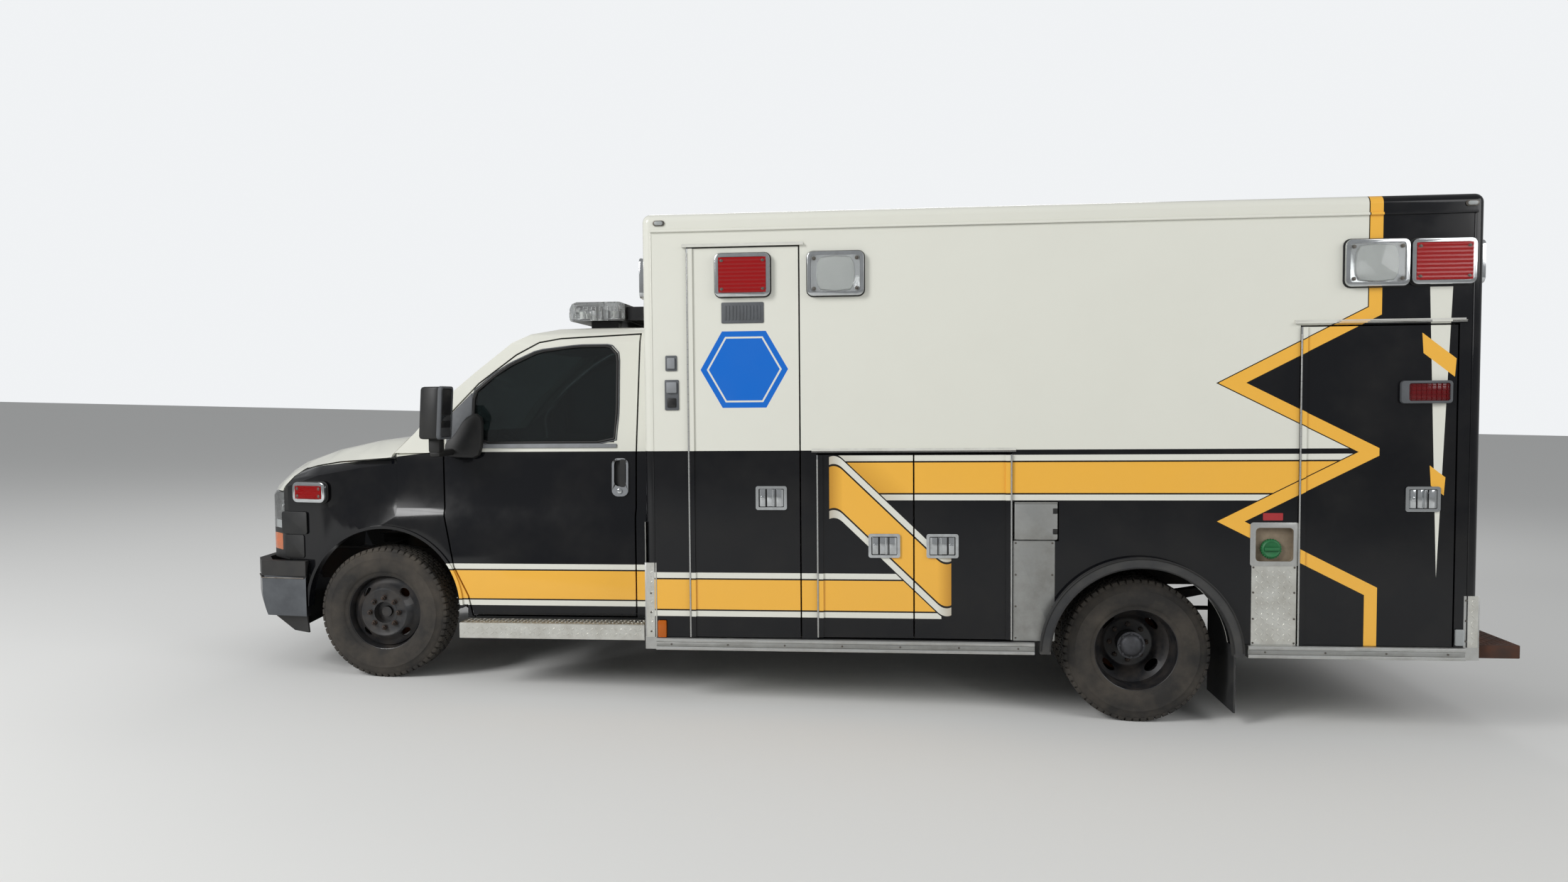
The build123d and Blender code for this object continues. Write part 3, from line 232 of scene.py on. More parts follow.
def livery_colour(tree, place, colours, cab):
    """White over black with the folded gold ribbon, the zigzag edge, the badge and the tapered stripe."""
    axes = add_node(tree, "ShaderNodeSeparateXYZ", (place,))
    x, y, z = axes.outputs
    white, black, gold, blue = (linear(c) for c in (colours.white, colours.black, colours.gold, colours.blue))
    line = linear("#1A140C")
    side = maths(tree, "ABSOLUTE", y)
    if cab:
        # On the cab the white follows the hood's edge down to the nose
        rise = ramp(tree, x, -0.5, 0.3, 1.165, BELT - 0.012)
        steep = maths(tree, "MULTIPLY_ADD", x, 1.5, 1.93)
        belt = maths(tree, "MINIMUM", rise, steep)
        upper = maths(tree, "GREATER_THAN", z, belt)
        ahead = product(tree, maths(tree, "LESS_THAN", x, NOSE_BAND),
                        maths(tree, "GREATER_THAN", z, NOSE_BAND_FOOT))
        upper = maths(tree, "MAXIMUM", upper, ahead)
    else:
        upper = maths(tree, "GREATER_THAN", z, BELT)
    paint = over(tree, upper, black, white)
    flank = maths(tree, "GREATER_THAN", side, 0.93 if cab else SIDE - 0.055)

    # Distance to the middle of the ribbon that lies here: lower run, upper run, and the fold over both
    if cab:
        distance = apart(tree, z, RIBBON_LOWER + 0.007)
        start = maths(tree, "MULTIPLY_ADD", z, -0.33, 0.594)
        reach = product(tree, flank, maths(tree, "GREATER_THAN", x, start))
    else:
        across = add_node(tree, "ShaderNodeVectorMath", (place, (FOLD_SLOPE[0], 0, FOLD_SLOPE[1])),
                          operation="DOT_PRODUCT").outputs["Value"]
        lower = apart(tree, z, RIBBON_LOWER)
        upper_run = apart(tree, z, RIBBON_UPPER)
        is_upper = maths(tree, "GREATER_THAN", z, 0.83)
        run = add_node(tree, "ShaderNodeMix", {"Factor": is_upper, "A": lower, "B": upper_run})
        low_reach = product(tree, maths(tree, "LESS_THAN", across, RIBBON_FOLD),
                            maths(tree, "LESS_THAN", x, FOLD_REAR - 0.05))
        high_reach = product(tree, maths(tree, "GREATER_THAN", across, RIBBON_FOLD),
                             maths(tree, "GREATER_THAN", x, FOLD_FRONT + 0.045))
        reach = add_node(tree, "ShaderNodeMix", {"Factor": is_upper, "A": low_reach, "B": high_reach})
        # The fold's ends curl
        left = ramp(tree, x, FOLD_FRONT, FOLD_FRONT + 0.07, 1.0, 0.0)
        right = ramp(tree, x, FOLD_REAR - 0.07, FOLD_REAR)
        curl = maths(tree, "SUBTRACT", product(tree, left, left), product(tree, right, right))
        bent = maths(tree, "MULTIPLY_ADD", curl, 0.036, across)
        fold = apart(tree, bent, RIBBON_FOLD)
        on_fold = product(tree, maths(tree, "LESS_THAN", fold, RIBBON_EDGE + 0.006),
                          band(tree, x, FOLD_FRONT, FOLD_REAR),
                          band(tree, z, RIBBON_LOWER - RIBBON_EDGE, RIBBON_UPPER + RIBBON_EDGE))
        distance = add_node(tree, "ShaderNodeMix", {"Factor": on_fold, "A": run, "B": fold})
        reach = product(tree, maths(tree, "MAXIMUM", reach, on_fold), flank)
    in_ribbon = product(tree, maths(tree, "LESS_THAN", distance, RIBBON_EDGE), reach)
    in_line = maths(tree, "LESS_THAN", distance, RIBBON_LINE)
    in_gold = maths(tree, "LESS_THAN", distance, RIBBON_GOLD)
    tint = gold
    edge_tint = white
    if not cab:
        # Shade printed on the ribbon where it turns over
        ends = product(tree, maths(tree, "MAXIMUM", left, right), on_fold)
        near = ramp(tree, across, RIBBON_FOLD + 0.11, RIBBON_FOLD + 0.24, 0.55, 0.0)
        near = product(tree, near, maths(tree, "SUBTRACT", 1.0, on_fold), is_upper)
        shade = product(tree, maths(tree, "MAXIMUM", ends, near), 0.75)
        tint = over(tree, shade, gold, linear("#A87424"))
        edge_tint = over(tree, shade, white, linear("#A89C88"))
    ribbon = over(tree, in_line, edge_tint, line)
    ribbon = over(tree, in_gold, ribbon, tint)
    paint = over(tree, in_ribbon, paint, ribbon)
    if cab:
        return paint

    # Black rear field with two teeth that point forwards, all edged in gold
    fields = [maths(tree, "SUBTRACT", x, TOOTH_REAR)]
    lean = (TOOTH_REAR - TOOTH_FRONT) / TOOTH_HALF
    for tip in TOOTH_TIPS:
        off = maths(tree, "MULTIPLY_ADD", apart(tree, z, tip), -lean, x)
        off = maths(tree, "SUBTRACT", off, TOOTH_FRONT)
        fields.append(product(tree, off, 1 / math.hypot(1, lean)))
    field = maths(tree, "MAXIMUM", fields[0], fields[1])
    field = maths(tree, "MAXIMUM", field, fields[2])
    for limit, colour in ((-BORDER - 0.005, line), (-BORDER, gold), (BORDER, black)):
        paint = over(tree, maths(tree, "GREATER_THAN", field, limit), paint, colour)

    # Tapered white stripe near the rear corner, crossed by slanted gold bars
    width = ramp(tree, z, *STRIPE_ENDS, 0.0, 0.052)
    off = apart(tree, x, STRIPE_X)
    heights = product(tree, band(tree, z, *STRIPE_ENDS), flank)
    stripe = product(tree, maths(tree, "LESS_THAN", off, width), heights)
    paint = over(tree, stripe, paint, white)
    slant = add_node(tree, "ShaderNodeVectorMath", (place, (0.62, 0, 0.78)),
                     operation="DOT_PRODUCT").outputs["Value"]
    slant = maths(tree, "PINGPONG", slant, 0.235)
    reach = maths(tree, "LESS_THAN", off, product(tree, width, 1.9))
    bars = product(tree, maths(tree, "LESS_THAN", slant, 0.036), reach, heights)
    paint = over(tree, bars, paint, gold)

    # Plain blue six-sided badge with a white keyline
    along, rise = apart(tree, x, BADGE_PLACE[0]), apart(tree, z, BADGE_PLACE[1])
    corner = maths(tree, "MULTIPLY_ADD", along, math.sqrt(3) / 2, product(tree, rise, 0.5))
    hexagon = maths(tree, "MAXIMUM", rise, corner)
    badge = product(tree, maths(tree, "LESS_THAN", hexagon, BADGE_RADIUS), flank)
    paint = over(tree, badge, paint, blue)
    paint = over(tree, product(tree, band(tree, hexagon, *BADGE_KEYLINE), flank), paint, white)

    # Plain pale coat on the inner faces
    indoors = product(tree, maths(tree, "LESS_THAN", side, SIDE - INNER_FACE),
                      band(tree, x, MODULE_FRONT + INNER_FACE, MODULE_REAR - INNER_FACE),
                      band(tree, z, 0.0, MODULE_TOP - INNER_FACE))
    return over(tree, indoors, paint, linear("#CFCEC6"))


def enamel(name, colours, cab):
    """Two-tone gloss enamel with vinyl stripes under a thin clear coat, dulled a little by road film."""
    made, tree, shader = new_material(name)
    place = level_place(tree)
    colour = livery_colour(tree, place, colours, cab)
    # Road film: soft clouds some 0.3 m wide
    film = ramp(tree, clouds(tree, place, 3.2, 6.0, 0.6), 0.42, 0.75, 0.0, 0.025)
    colour = over(tree, film, colour, linear("#8B8476"))
    rough = maths(tree, "MULTIPLY_ADD", film, 4.8, 0.12)
    tree.links.new(colour, shader.inputs["Base Color"])
    tree.links.new(rough.outputs[0], shader.inputs["Roughness"])
    shader.inputs["Coat Weight"].default_value = 0.2
    shader.inputs["Specular IOR Level"].default_value = 0.25
    shader.inputs["Coat Roughness"].default_value = 0.05
    return made


def coated(name, finish):
    """Gives a CAD node one finish."""
    layers = frame["nodes"][name].data.materials
    layers.clear()
    layers.append(bpy.data.materials[finish])


# Modelling tools: each leaves one object, made in the body's level frame
def pick(*pieces):
    """Selects these objects only, the first as the active one."""
    bpy.ops.object.select_all(action="DESELECT")
    for piece in pieces:
        piece.select_set(True)
    bpy.context.view_layer.objects.active = pieces[0]


def applied(piece, kind, **settings):
    """Puts a modifier on a piece and applies it."""
    pick(piece)
    added = piece.modifiers.new(kind.lower(), kind)
    for key, value in settings.items():
        setattr(added, key, value)
    bpy.ops.object.modifier_apply(modifier=added.name)
    return piece


def eased(piece, edge):
    """Rounds the sharp edges of a piece, when the radius is not nought."""
    if edge:
        applied(piece, "BEVEL", width=edge, segments=2, limit_method="ANGLE", angle_limit=math.radians(40))
    return piece


def edit_all():
    """Opens the active object for editing, with all of it selected."""
    bpy.ops.object.mode_set(mode="EDIT")
    bpy.ops.mesh.select_all(action="SELECT")


def prism(axis, outline, start, end, edge=0.0):
    """A solid along an axis, from its outline in the other two axes, with its edges rounded."""
    number = "XYZ".index(axis)
    bpy.ops.object.select_all(action="DESELECT")
    bpy.ops.mesh.primitive_circle_add(vertices=len(outline), fill_type="NGON")
    piece = bpy.context.object
    for vertex, pair in zip(piece.data.vertices, outline):
        place = list(pair)
        place.insert(number, start)
        vertex.co = place
    along = [0.0, 0.0, 0.0]
    along[number] = end - start
    edit_all()
    bpy.ops.mesh.extrude_region_move(TRANSFORM_OT_translate={"value": along})
    bpy.ops.mesh.select_all(action="SELECT")
    bpy.ops.mesh.normals_make_consistent(inside=False)
    bpy.ops.object.mode_set(mode="OBJECT")
    return eased(piece, edge)


def block(x, y, z, edge=0.0):
    """A box between two limits on each axis."""
    return prism("Y", ((x[0], z[0]), (x[1], z[0]), (x[1], z[1]), (x[0], z[1])), *y, edge)


def rounded(across, up, radius, steps=4):
    """The outline of a rectangle with round corners."""
    corners = ((across[1], up[1], 0), (across[0], up[1], 90), (across[0], up[0], 180),
               (across[1], up[0], 270))
    middle = (sum(across) / 2, sum(up) / 2)
    points = []
    for a, b, start in corners:
        centre = (a - math.copysign(radius, a - middle[0]), b - math.copysign(radius, b - middle[1]))
        for step in range(steps + 1):
            turn = math.radians(start + 90 * step / steps)
            points.append((centre[0] + radius * math.cos(turn), centre[1] + radius * math.sin(turn)))
    return points


def slab(axis, across, up, radius, start, end, edge=0.0):
    """A plate along an axis, a rectangle with round corners in the other two."""
    return prism(axis, rounded(across, up, radius), start, end, edge)


def rod(start, end, radius, sides=16, edge=0.0):
    """A round bar between two points."""
    start, end = Vector(start), Vector(end)
    bpy.ops.object.select_all(action="DESELECT")
    bpy.ops.mesh.primitive_cylinder_add(vertices=sides, radius=radius, depth=(end - start).length)
    piece = bpy.context.object
    turn = (end - start).to_track_quat("Z", "Y").to_matrix().to_4x4()
    piece.data.transform(Matrix.Translation((start + end) / 2) @ turn)
    return eased(piece, edge)


def turned(outline, x, z, steps=64):
    """A ring round an axle along Y, from its closed section as (distance along Y, radius) points."""
    bpy.ops.object.select_all(action="DESELECT")
    bpy.ops.mesh.primitive_circle_add(vertices=len(outline), fill_type="NOTHING")
    piece = bpy.context.object
    for vertex, (y, radius) in zip(piece.data.vertices, outline):
        vertex.co = (x, y, z + radius)
    edit_all()
    bpy.ops.mesh.spin(steps=steps, angle=2 * math.pi, center=(x, 0, z), axis=(0, 1, 0))
    bpy.ops.mesh.select_all(action="SELECT")
    bpy.ops.mesh.remove_doubles(threshold=0.00002)
    bpy.ops.mesh.normals_make_consistent(inside=False)
    bpy.ops.object.mode_set(mode="OBJECT")
    return piece


def ringed(piece, x, z, count):
    """Copies of a piece all round an axle along Y, as one object."""
    pick(piece)
    edit_all()
    bpy.ops.mesh.spin(steps=count - 1, dupli=True, angle=2 * math.pi * (count - 1) / count, center=(x, 0, z),
                      axis=(0, 1, 0))
    bpy.ops.object.mode_set(mode="OBJECT")
    return piece


def wire(points, radius, sides=8, closed=False):
    """A tube of even thickness through points."""
    curve = bpy.data.curves.new("wire", "CURVE")
    curve.dimensions = "3D"
    curve.bevel_depth = radius
    curve.bevel_resolution = max(0, sides // 4 - 1)
    curve.use_fill_caps = True
    line = curve.splines.new("POLY")
    line.points.add(len(points) - 1)
    for spot, point in zip(line.points, points):
        spot.co = (*point, 1.0)
    line.use_cyclic_u = closed
    piece = bpy.data.objects.new("wire", curve)
    bpy.context.scene.collection.objects.link(piece)
    pick(piece)
    bpy.ops.object.convert(target="MESH")
    return bpy.context.object


def joined(*pieces):
    """Several pieces made one object."""
    pick(*pieces)
    bpy.ops.object.join()
    return pieces[0]


def repeated(piece, count, step):
    """A row of copies of a piece, as one object."""
    return applied(piece, "ARRAY", count=count, use_relative_offset=False, use_constant_offset=True,
                   constant_offset_displace=step)


def cut(piece, *tools):
    """A piece with the tools' forms taken out of it."""
    for tool in tools:
        applied(piece, "BOOLEAN", object=tool, operation="DIFFERENCE", solver="EXACT")
        bpy.data.objects.remove(tool)
    return piece


def fit(piece, name, body, slot, *finishes):
    """Sets a piece, or a list made one, into the parked stance, on its body, with its finishes. Its slot is
    not used.
    """
    if isinstance(piece, list):
        piece = joined(*piece)
    pick(piece)
    bpy.ops.object.shade_smooth_by_angle(angle=math.radians(38))
    piece.name = name
    piece.data.transform(STANCE)
    if not piece.data.materials:
        for finish in finishes:
            piece.data.materials.append(bpy.data.materials[finish])
    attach(piece, body)
    return piece


MODULE_PAINT = "Enamel two-tone, module"
CAB_PAINT = "Enamel two-tone, cab"
# Finishes: name, colour, second colour, share of the second, cloud size, roughness, metal, coat, grain depth
FINISHES = (
    ("Chrome", "#C9CCCE", "#7E7C76", 0.25, 30.0, 0.1, 1.0, 0.0, 0.0),
    ("Stainless", "#BFC0BE", "#8D8A83", 0.35, 14.0, 0.28, 1.0, 0.0, 0.0),
    ("Aluminium extrusion", "#C6C7C5", "#8C8982", 0.45, 9.0, 0.36, 1.0, 0.0, 0.0),
    ("Tread plate", "#DCDCD6", "#8F897C", 0.4, 12.0, 0.34, 1.0, 0.0, 0.0),
    ("Brushed plate", "#A9AAA8", "#77756F", 0.55, 6.0, 0.42, 1.0, 0.0, 0.0),
    ("Flare rubber", "#2B2C2E", "#55534E", 0.45, 6.0, 0.55, 0.0, 0.0, 0.1),
    ("Wheel black", "#1B1C1F", "#4F473F", 0.45, 11.0, 0.38, 0.0, 0.2, 0.0),
    ("Tyre sidewall", "#23211F", "#5E574E", 0.6, 5.0, 0.8, 0.0, 0.0, 0.12),
    ("Rusty iron", "#6B4027", "#2E221B", 0.6, 18.0, 0.85, 0.3, 0.0, 0.25),
    ("Hub grey", "#55565A", "#2E2B29", 0.5, 20.0, 0.5, 0.7, 0.0, 0.0),
    ("Nut steel", "#3D3C3B", "#6A4A34", 0.5, 60.0, 0.5, 0.8, 0.0, 0.0),
    ("Black rubber", "#0E0E0F", "#3A3834", 0.35, 9.0, 0.62, 0.0, 0.0, 0.1),
    ("Black moulding", "#0C0D0F", "#37352F", 0.3, 7.0, 0.5, 0.0, 0.0, 0.2),
    ("Satin black", "#0B0C0E", "#26241F", 0.3, 8.0, 0.34, 0.0, 0.0, 0.0),
    ("Bumper black", "#101114", "#4C4943", 0.35, 4.0, 0.55, 0.0, 0.0, 0.15),
    ("Bumper dark chrome", "#6A6D71", "#3A3B3E", 0.45, 5.0, 0.28, 1.0, 0.0, 0.0),
    ("Grey trim", "#54575B", "#34332F", 0.35, 9.0, 0.55, 0.0, 0.0, 0.1),
    ("Light grey trim", "#84878B", "#56554F", 0.35, 9.0, 0.5, 0.0, 0.0, 0.1),
    ("Chassis black", "#131314", "#4A4036", 0.45, 5.0, 0.7, 0.0, 0.0, 0.15),
    ("Step rust", "#3C2A22", "#6E3F28", 0.55, 9.0, 0.75, 0.2, 0.0, 0.25),
    ("Cabinet laminate", "#C9C9C4", "#B2B0A8", 0.3, 3.0, 0.42, 0.0, 0.0, 0.0),
    ("Safety floor", "#4A4E53", "#33363A", 0.5, 60.0, 0.6, 0.0, 0.0, 0.05),
    ("Bench vinyl", "#22303F", "#1A2530", 0.4, 12.0, 0.5, 0.0, 0.0, 0.15),
    ("Seat cloth", "#4A4A4C", "#38383A", 0.5, 240.0, 0.92, 0.0, 0.0, 0.2),
    ("Cab grey plastic", "#5B5A57", "#4A4946", 0.4, 90.0, 0.65, 0.0, 0.0, 0.1),
    ("Headliner", "#8A8985", "#7B7A76", 0.4, 120.0, 0.95, 0.0, 0.0, 0.1),
    ("Exhaust steel", "#5C5349", "#7A4E33", 0.5, 8.0, 0.55, 0.9, 0.0, 0.1),
    ("Engine iron", "#34332F", "#5A4B3A", 0.45, 9.0, 0.7, 0.4, 0.0, 0.2),
    ("Green cap", "#1D6B3C", "#154A2A", 0.35, 40.0, 0.5, 0.0, 0.0, 0.0),
    ("Red label", "#A3262A", "#8A2024", 0.2, 40.0, 0.5, 0.0, 0.0, 0.0),
    ("Filler beige", "#8A7C69", "#4C4235", 0.55, 12.0, 0.8, 0.0, 0.0, 0.15),
    ("Lamp black", "#0A0A0C", "#1C1B1A", 0.2, 20.0, 0.3, 0.0, 0.0, 0.0),
    ("Reflector", "#F4F5F6", "#DCDEE0", 0.1, 4.0, 0.22, 0.6, 0.0, 0.0),
    ("White bulb", "#E6E8E4", "#CFD2CE", 0.25, 20.0, 0.45, 0.0, 0.0, 0.0),
    ("White rail", "#D6D6D0", "#9A978E", 0.35, 12.0, 0.3, 0.0, 0.3, 0.0),
    ("Mirror glass", "#E8EAEC", "#C4C6C8", 0.15, 12.0, 0.02, 1.0, 0.0, 0.0),
    ("Dull steel", "#6E6B66", "#4B3B30", 0.45, 22.0, 0.48, 0.9, 0.0, 0.05),
)

# Lenses and glass: name, colour, roughness, how much light passes
LENSES = (
    ("Red lens", "#B8060C", 0.08, 0.45),
    ("Deep red lens", "#7A0C12", 0.14, 0.35),
    ("Amber lens", "#F07A10", 0.12, 0.5),
    ("Clear lens", "#F2F4F4", 0.04, 0.92),
    ("Frosted lens", "#DFE4E4", 0.32, 0.6),
    ("Smoked lens", "#A4A6A6", 0.05, 0.9),
    ("Blue-grey lens", "#AEB6BC", 0.06, 0.8),
    ("Tinted glass", "#3F4B4C", 0.02, 0.94),
    ("Windscreen glass", "#97A5A0", 0.02, 0.95),
)


def surface(name, colour, second, share, cloud, rough, metal, coat, grain):
    """A finish whose colour and roughness drift in clouds, with a fine grain where it has depth."""
    made, tree, shader = new_material(name)
    place = add_node(tree, "ShaderNodeTexCoord").outputs["Object"]
    amount = ramp(tree, clouds(tree, place, cloud, 5.0, 0.62), 0.38, 0.72, 0.0, share)
    tree.links.new(over(tree, amount, linear(colour), linear(second)), shader.inputs["Base Color"])
    dull = maths(tree, "MULTIPLY_ADD", amount, 0.35, rough)
    tree.links.new(dull.outputs[0], shader.inputs["Roughness"])
    shader.inputs["Metallic"].default_value = metal
    shader.inputs["Coat Weight"].default_value = coat
    if grain:
        fine = clouds(tree, place, 380.0, 3.0)
        bump = add_node(tree, "ShaderNodeBump", {"Height": fine, "Strength": grain, "Distance": 0.0006})
        tree.links.new(bump.outputs[0], shader.inputs["Normal"])
    return made


def lens(name, colour, rough, passes):
    """A moulded lens or pane: part of the light goes through it, the rest meets its colour."""
    made, tree, shader = new_material(name)
    place = add_node(tree, "ShaderNodeTexCoord").outputs["Object"]
    film = ramp(tree, clouds(tree, place, 9.0, 6.0, 0.65), 0.4, 0.8, rough, rough + 0.1)
    tree.links.new(film.outputs[0], shader.inputs["Roughness"])
    shader.inputs["Base Color"].default_value = linear(colour)
    shader.inputs["Transmission Weight"].default_value = passes
    shader.inputs["IOR"].default_value = 1.45
    return made


def mirrored(half, middle=()):
    """Half a section, its middle and its other half, mirrored across."""
    return (*half, *middle, *((-out, radius) for out, radius in reversed(half)))


# Wheels and tyres: half a tyre's section as distance out from its middle, radius
TYRE_HALF = (
    (-0.078, 0.206), (-0.088, 0.2085), (-0.093, 0.217), (-0.095, 0.224), (-0.099, 0.229), (-0.103, 0.233),
    (-0.1065, 0.25), (-0.1095, 0.268), (-0.1106, 0.285), (-0.11, 0.3), (-0.1112, 0.303), (-0.1112, 0.306),
    (-0.1085, 0.309), (-0.104, 0.327), (-0.0985, 0.342), (-0.09, 0.352), (-0.086, 0.3545), (-0.05, 0.355),
)
TYRE_SECTION = mirrored(TYRE_HALF, ((0.0, 0.3552),))
# Tread blocks: across, half width, how far each is set round its pitch
TREAD_BLOCKS = ((-0.068, 0.015, 0.0), (-0.034, 0.013, 0.5), (0.0, 0.013, 0.0), (0.034, 0.013, 0.5),
                (0.068, 0.015, 0.0))
TREAD_COUNT = 60
# A rim's outer and inner line, half of each
RIM_OUTSIDE = (
    (-0.0865, 0.2205), (-0.0905, 0.2215), (-0.0925, 0.219), (-0.088, 0.214), (-0.083, 0.205), (-0.07, 0.201),
    (-0.045, 0.199), (-0.03, 0.19),
)
RIM_INSIDE = ((0.079, 0.208), (0.066, 0.2055), (0.043, 0.2035), (0.027, 0.1945))
RIM_SECTION = mirrored(RIM_OUTSIDE) + mirrored(RIM_INSIDE)
# Discs, out from the tyre's middle on their flange side: front wheel, and either of a rear pair
FRONT_DISC = (
    (0.08, 0.064), (0.084, 0.06), (0.088, 0.064), (0.088, 0.115), (0.092, 0.123), (0.093, 0.13),
    (0.085, 0.14), (0.064, 0.156), (0.05, 0.176), (0.044, 0.19), (0.036, 0.1915), (0.041, 0.174),
    (0.054, 0.152), (0.074, 0.136), (0.085, 0.1285), (0.084, 0.123), (0.08, 0.116),
)
REAR_DISC = (
    (0.124, 0.064), (0.128, 0.06), (0.132, 0.064), (0.132, 0.12), (0.124, 0.133), (0.098, 0.148),
    (0.07, 0.164), (0.048, 0.186), (0.04, 0.191), (0.032, 0.19), (0.042, 0.18), (0.064, 0.159),
    (0.094, 0.142), (0.119, 0.128), (0.124, 0.119),
)
# Sections round the axles, out from the middle of the tyre or of the rear pair
HUB_SECTION = ((-0.045, 0.03), (-0.045, 0.07), (0.08, 0.074), (0.089, 0.074), (0.089, 0.06), (0.045, 0.056),
               (0.045, 0.03))
BRAKE_DISC = ((-0.02, 0.07), (-0.02, 0.158), (-0.008, 0.158), (-0.008, 0.07))
BRAKE_DRUM = ((-0.205, 0.06), (-0.205, 0.15), (-0.19, 0.168), (-0.05, 0.168), (-0.042, 0.15), (-0.008, 0.11),
              (-0.008, 0.06))
HUB_CAP = ((-0.006, 0.03), (-0.006, 0.066), (0.07, 0.064), (0.088, 0.062), (0.094, 0.07), (0.102, 0.07),
           (0.104, 0.06), (0.113, 0.054), (0.122, 0.04), (0.124, 0.001))


def section_at(section, y, side):
    """A section moved to a place across the vehicle, facing out of its side."""
    return [(y + side * out, radius) for out, radius in section]


def tyre(y, x, z):
    """A tyre: carcass with rim protectors, and ribs of separate tread blocks."""
    carcass = turned([(y + across, radius) for across, radius in TYRE_SECTION], x, z, 96)
    pitch = 2 * math.pi * TYRE_RADIUS / TREAD_COUNT
    blocks = []
    for across, half, shift in TREAD_BLOCKS:
        slant = 0.004 if abs(across) < 0.05 else 0.0
        length = 0.43 * pitch
        corners = ((-length, -half), (length, -half + slant), (length, half), (-length, half - slant))
        outline = [(x + shift * pitch + a, y + across + b) for a, b in corners]
        blocks.append(prism("Z", outline, z + 0.3515, z + TYRE_RADIUS, 0.0012))
    for side in (-1, 1):
        outline = [(y + side * 0.0835, 0.3525), (y + side * 0.0835, TYRE_RADIUS - 0.0003),
                   (y + side * 0.0925, TYRE_RADIUS - 0.003), (y + side * 0.1, 0.344),
                   (y + side * 0.096, 0.342)]
        blocks.append(prism("X", [(a, z + b) for a, b in outline], x - 0.36 * pitch, x + 0.36 * pitch, 0.001))
    tread = ringed(joined(*blocks), x, z, TREAD_COUNT)
    return joined(carcass, tread)


def rim_piece(y, side, disc, x, z, slot_radius, slot_half):
    """A rim with its disc and four hand holes."""
    barrel = turned(section_at(RIM_SECTION, y, side), x, z, 72)
    plate = turned(section_at(disc, y, side), x, z, 72)
    tools = []
    for turn in (45, 135, 225, 315):
        angle = math.radians(turn)
        outline = []
        for step in range(20):
            a = 2 * math.pi * step / 20
            around, out = slot_half * math.cos(a), 0.0165 * math.sin(a)
            radius = slot_radius + out
            at = angle + around / slot_radius
            outline.append((x + radius * math.cos(at), z + radius * math.sin(at)))
        tools.append(prism("Y", outline, y - 0.2, y + 0.2))
    return joined(barrel, cut(plate, *tools))


def nut_ring(y, side, radius, x, z):
    """Eight wheel nuts with their studs."""
    nut = rod((x + radius, y, z), (x + radius, y + side * 0.019, z), 0.0125, 6, 0.0015)
    stud = rod((x + radius, y, z), (x + radius, y + side * 0.03, z), 0.0065, 10, 0.001)
    washer = rod((x + radius, y, z), (x + radius, y + side * 0.004, z), 0.0155, 16)
    return ringed(joined(nut, stud, washer), x, z, 8)


class AMBULANCE_OT_wheels(bpy.types.Operator):
    """Make the tyres with their tread, the rims, hubs and nuts"""
    bl_idname = "ambulance.wheels"
    bl_label = "Wheels and Tyres"

    def execute(self, context):
        for side, name in ((-1, "left"), (1, "right")):
            front, outer, inner = side * FRONT_WHEEL_Y, side * REAR_OUTER_Y, side * REAR_INNER_Y
            body = f"front_wheel_{name}"
            made = fit(tyre(front, 0, FRONT_HUB), f"{body}_tyre", body, "tyre_rubber", "Tyre sidewall")
            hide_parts(f"front_tyre_{name}")
            made = fit(rim_piece(front, side, FRONT_DISC, 0, FRONT_HUB, 0.156, 0.03), f"{body}_rim", body,
                       "wheel_paint", "Wheel black")
            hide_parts(body)
            hub = turned(section_at(HUB_SECTION, front, side), 0, FRONT_HUB, 40)
            fit(hub, f"{body}_hub", body, "cast_metal", "Wheel black")
            disc = turned(section_at(BRAKE_DISC, front, side), 0, FRONT_HUB, 48)
            fit(disc, f"{body}_brake_disc", body, "cast_metal", "Rusty iron")
            fit(nut_ring(front + side * 0.088, side, 0.0825, 0, FRONT_HUB), f"{body}_nuts", body,
                "cast_metal", "Nut steel")

            body = f"rear_wheels_{name}"
            pair = joined(tyre(outer, WHEELBASE, REAR_HUB), tyre(inner, WHEELBASE, REAR_HUB))
            made = fit(pair, f"{body}_tyres", body, "tyre_rubber", "Tyre sidewall")
            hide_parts(f"rear_tyres_{name}")
            pair = joined(rim_piece(outer, -side, REAR_DISC, WHEELBASE, REAR_HUB, 0.156, 0.042),
                          rim_piece(inner, side, REAR_DISC, WHEELBASE, REAR_HUB, 0.156, 0.042))
            made = fit(pair, f"{body}_rims", body, "wheel_paint", "Wheel black")
            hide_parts(body)
            middle = (outer + inner) / 2
            drum = turned(section_at(BRAKE_DRUM, middle, side), WHEELBASE, REAR_HUB, 56)
            fit(drum, f"{body}_drum", body, "cast_metal", "Rusty iron")
            cap = turned(section_at(HUB_CAP, middle, side), WHEELBASE, REAR_HUB, 48)
            bolt = rod((WHEELBASE + 0.06, middle + side * 0.1, REAR_HUB),
                       (WHEELBASE + 0.06, middle + side * 0.11, REAR_HUB), 0.007, 6, 0.001)
            fit([cap, ringed(bolt, WHEELBASE, REAR_HUB, 8)], f"{body}_hub_cap", body, "cast_metal",
                "Hub grey")
            fit(nut_ring(middle + side * 0.005, side, 0.093, WHEELBASE, REAR_HUB), f"{body}_nuts", body,
                "cast_metal", "Nut steel")
        return {"FINISHED"}


# Fittings of the module's doors and lids
LID_DEPTH = 0.042
HINGE_REACH = 0.009
ENTRY_PANE = (2.455, 2.985, 1.425, 1.975)
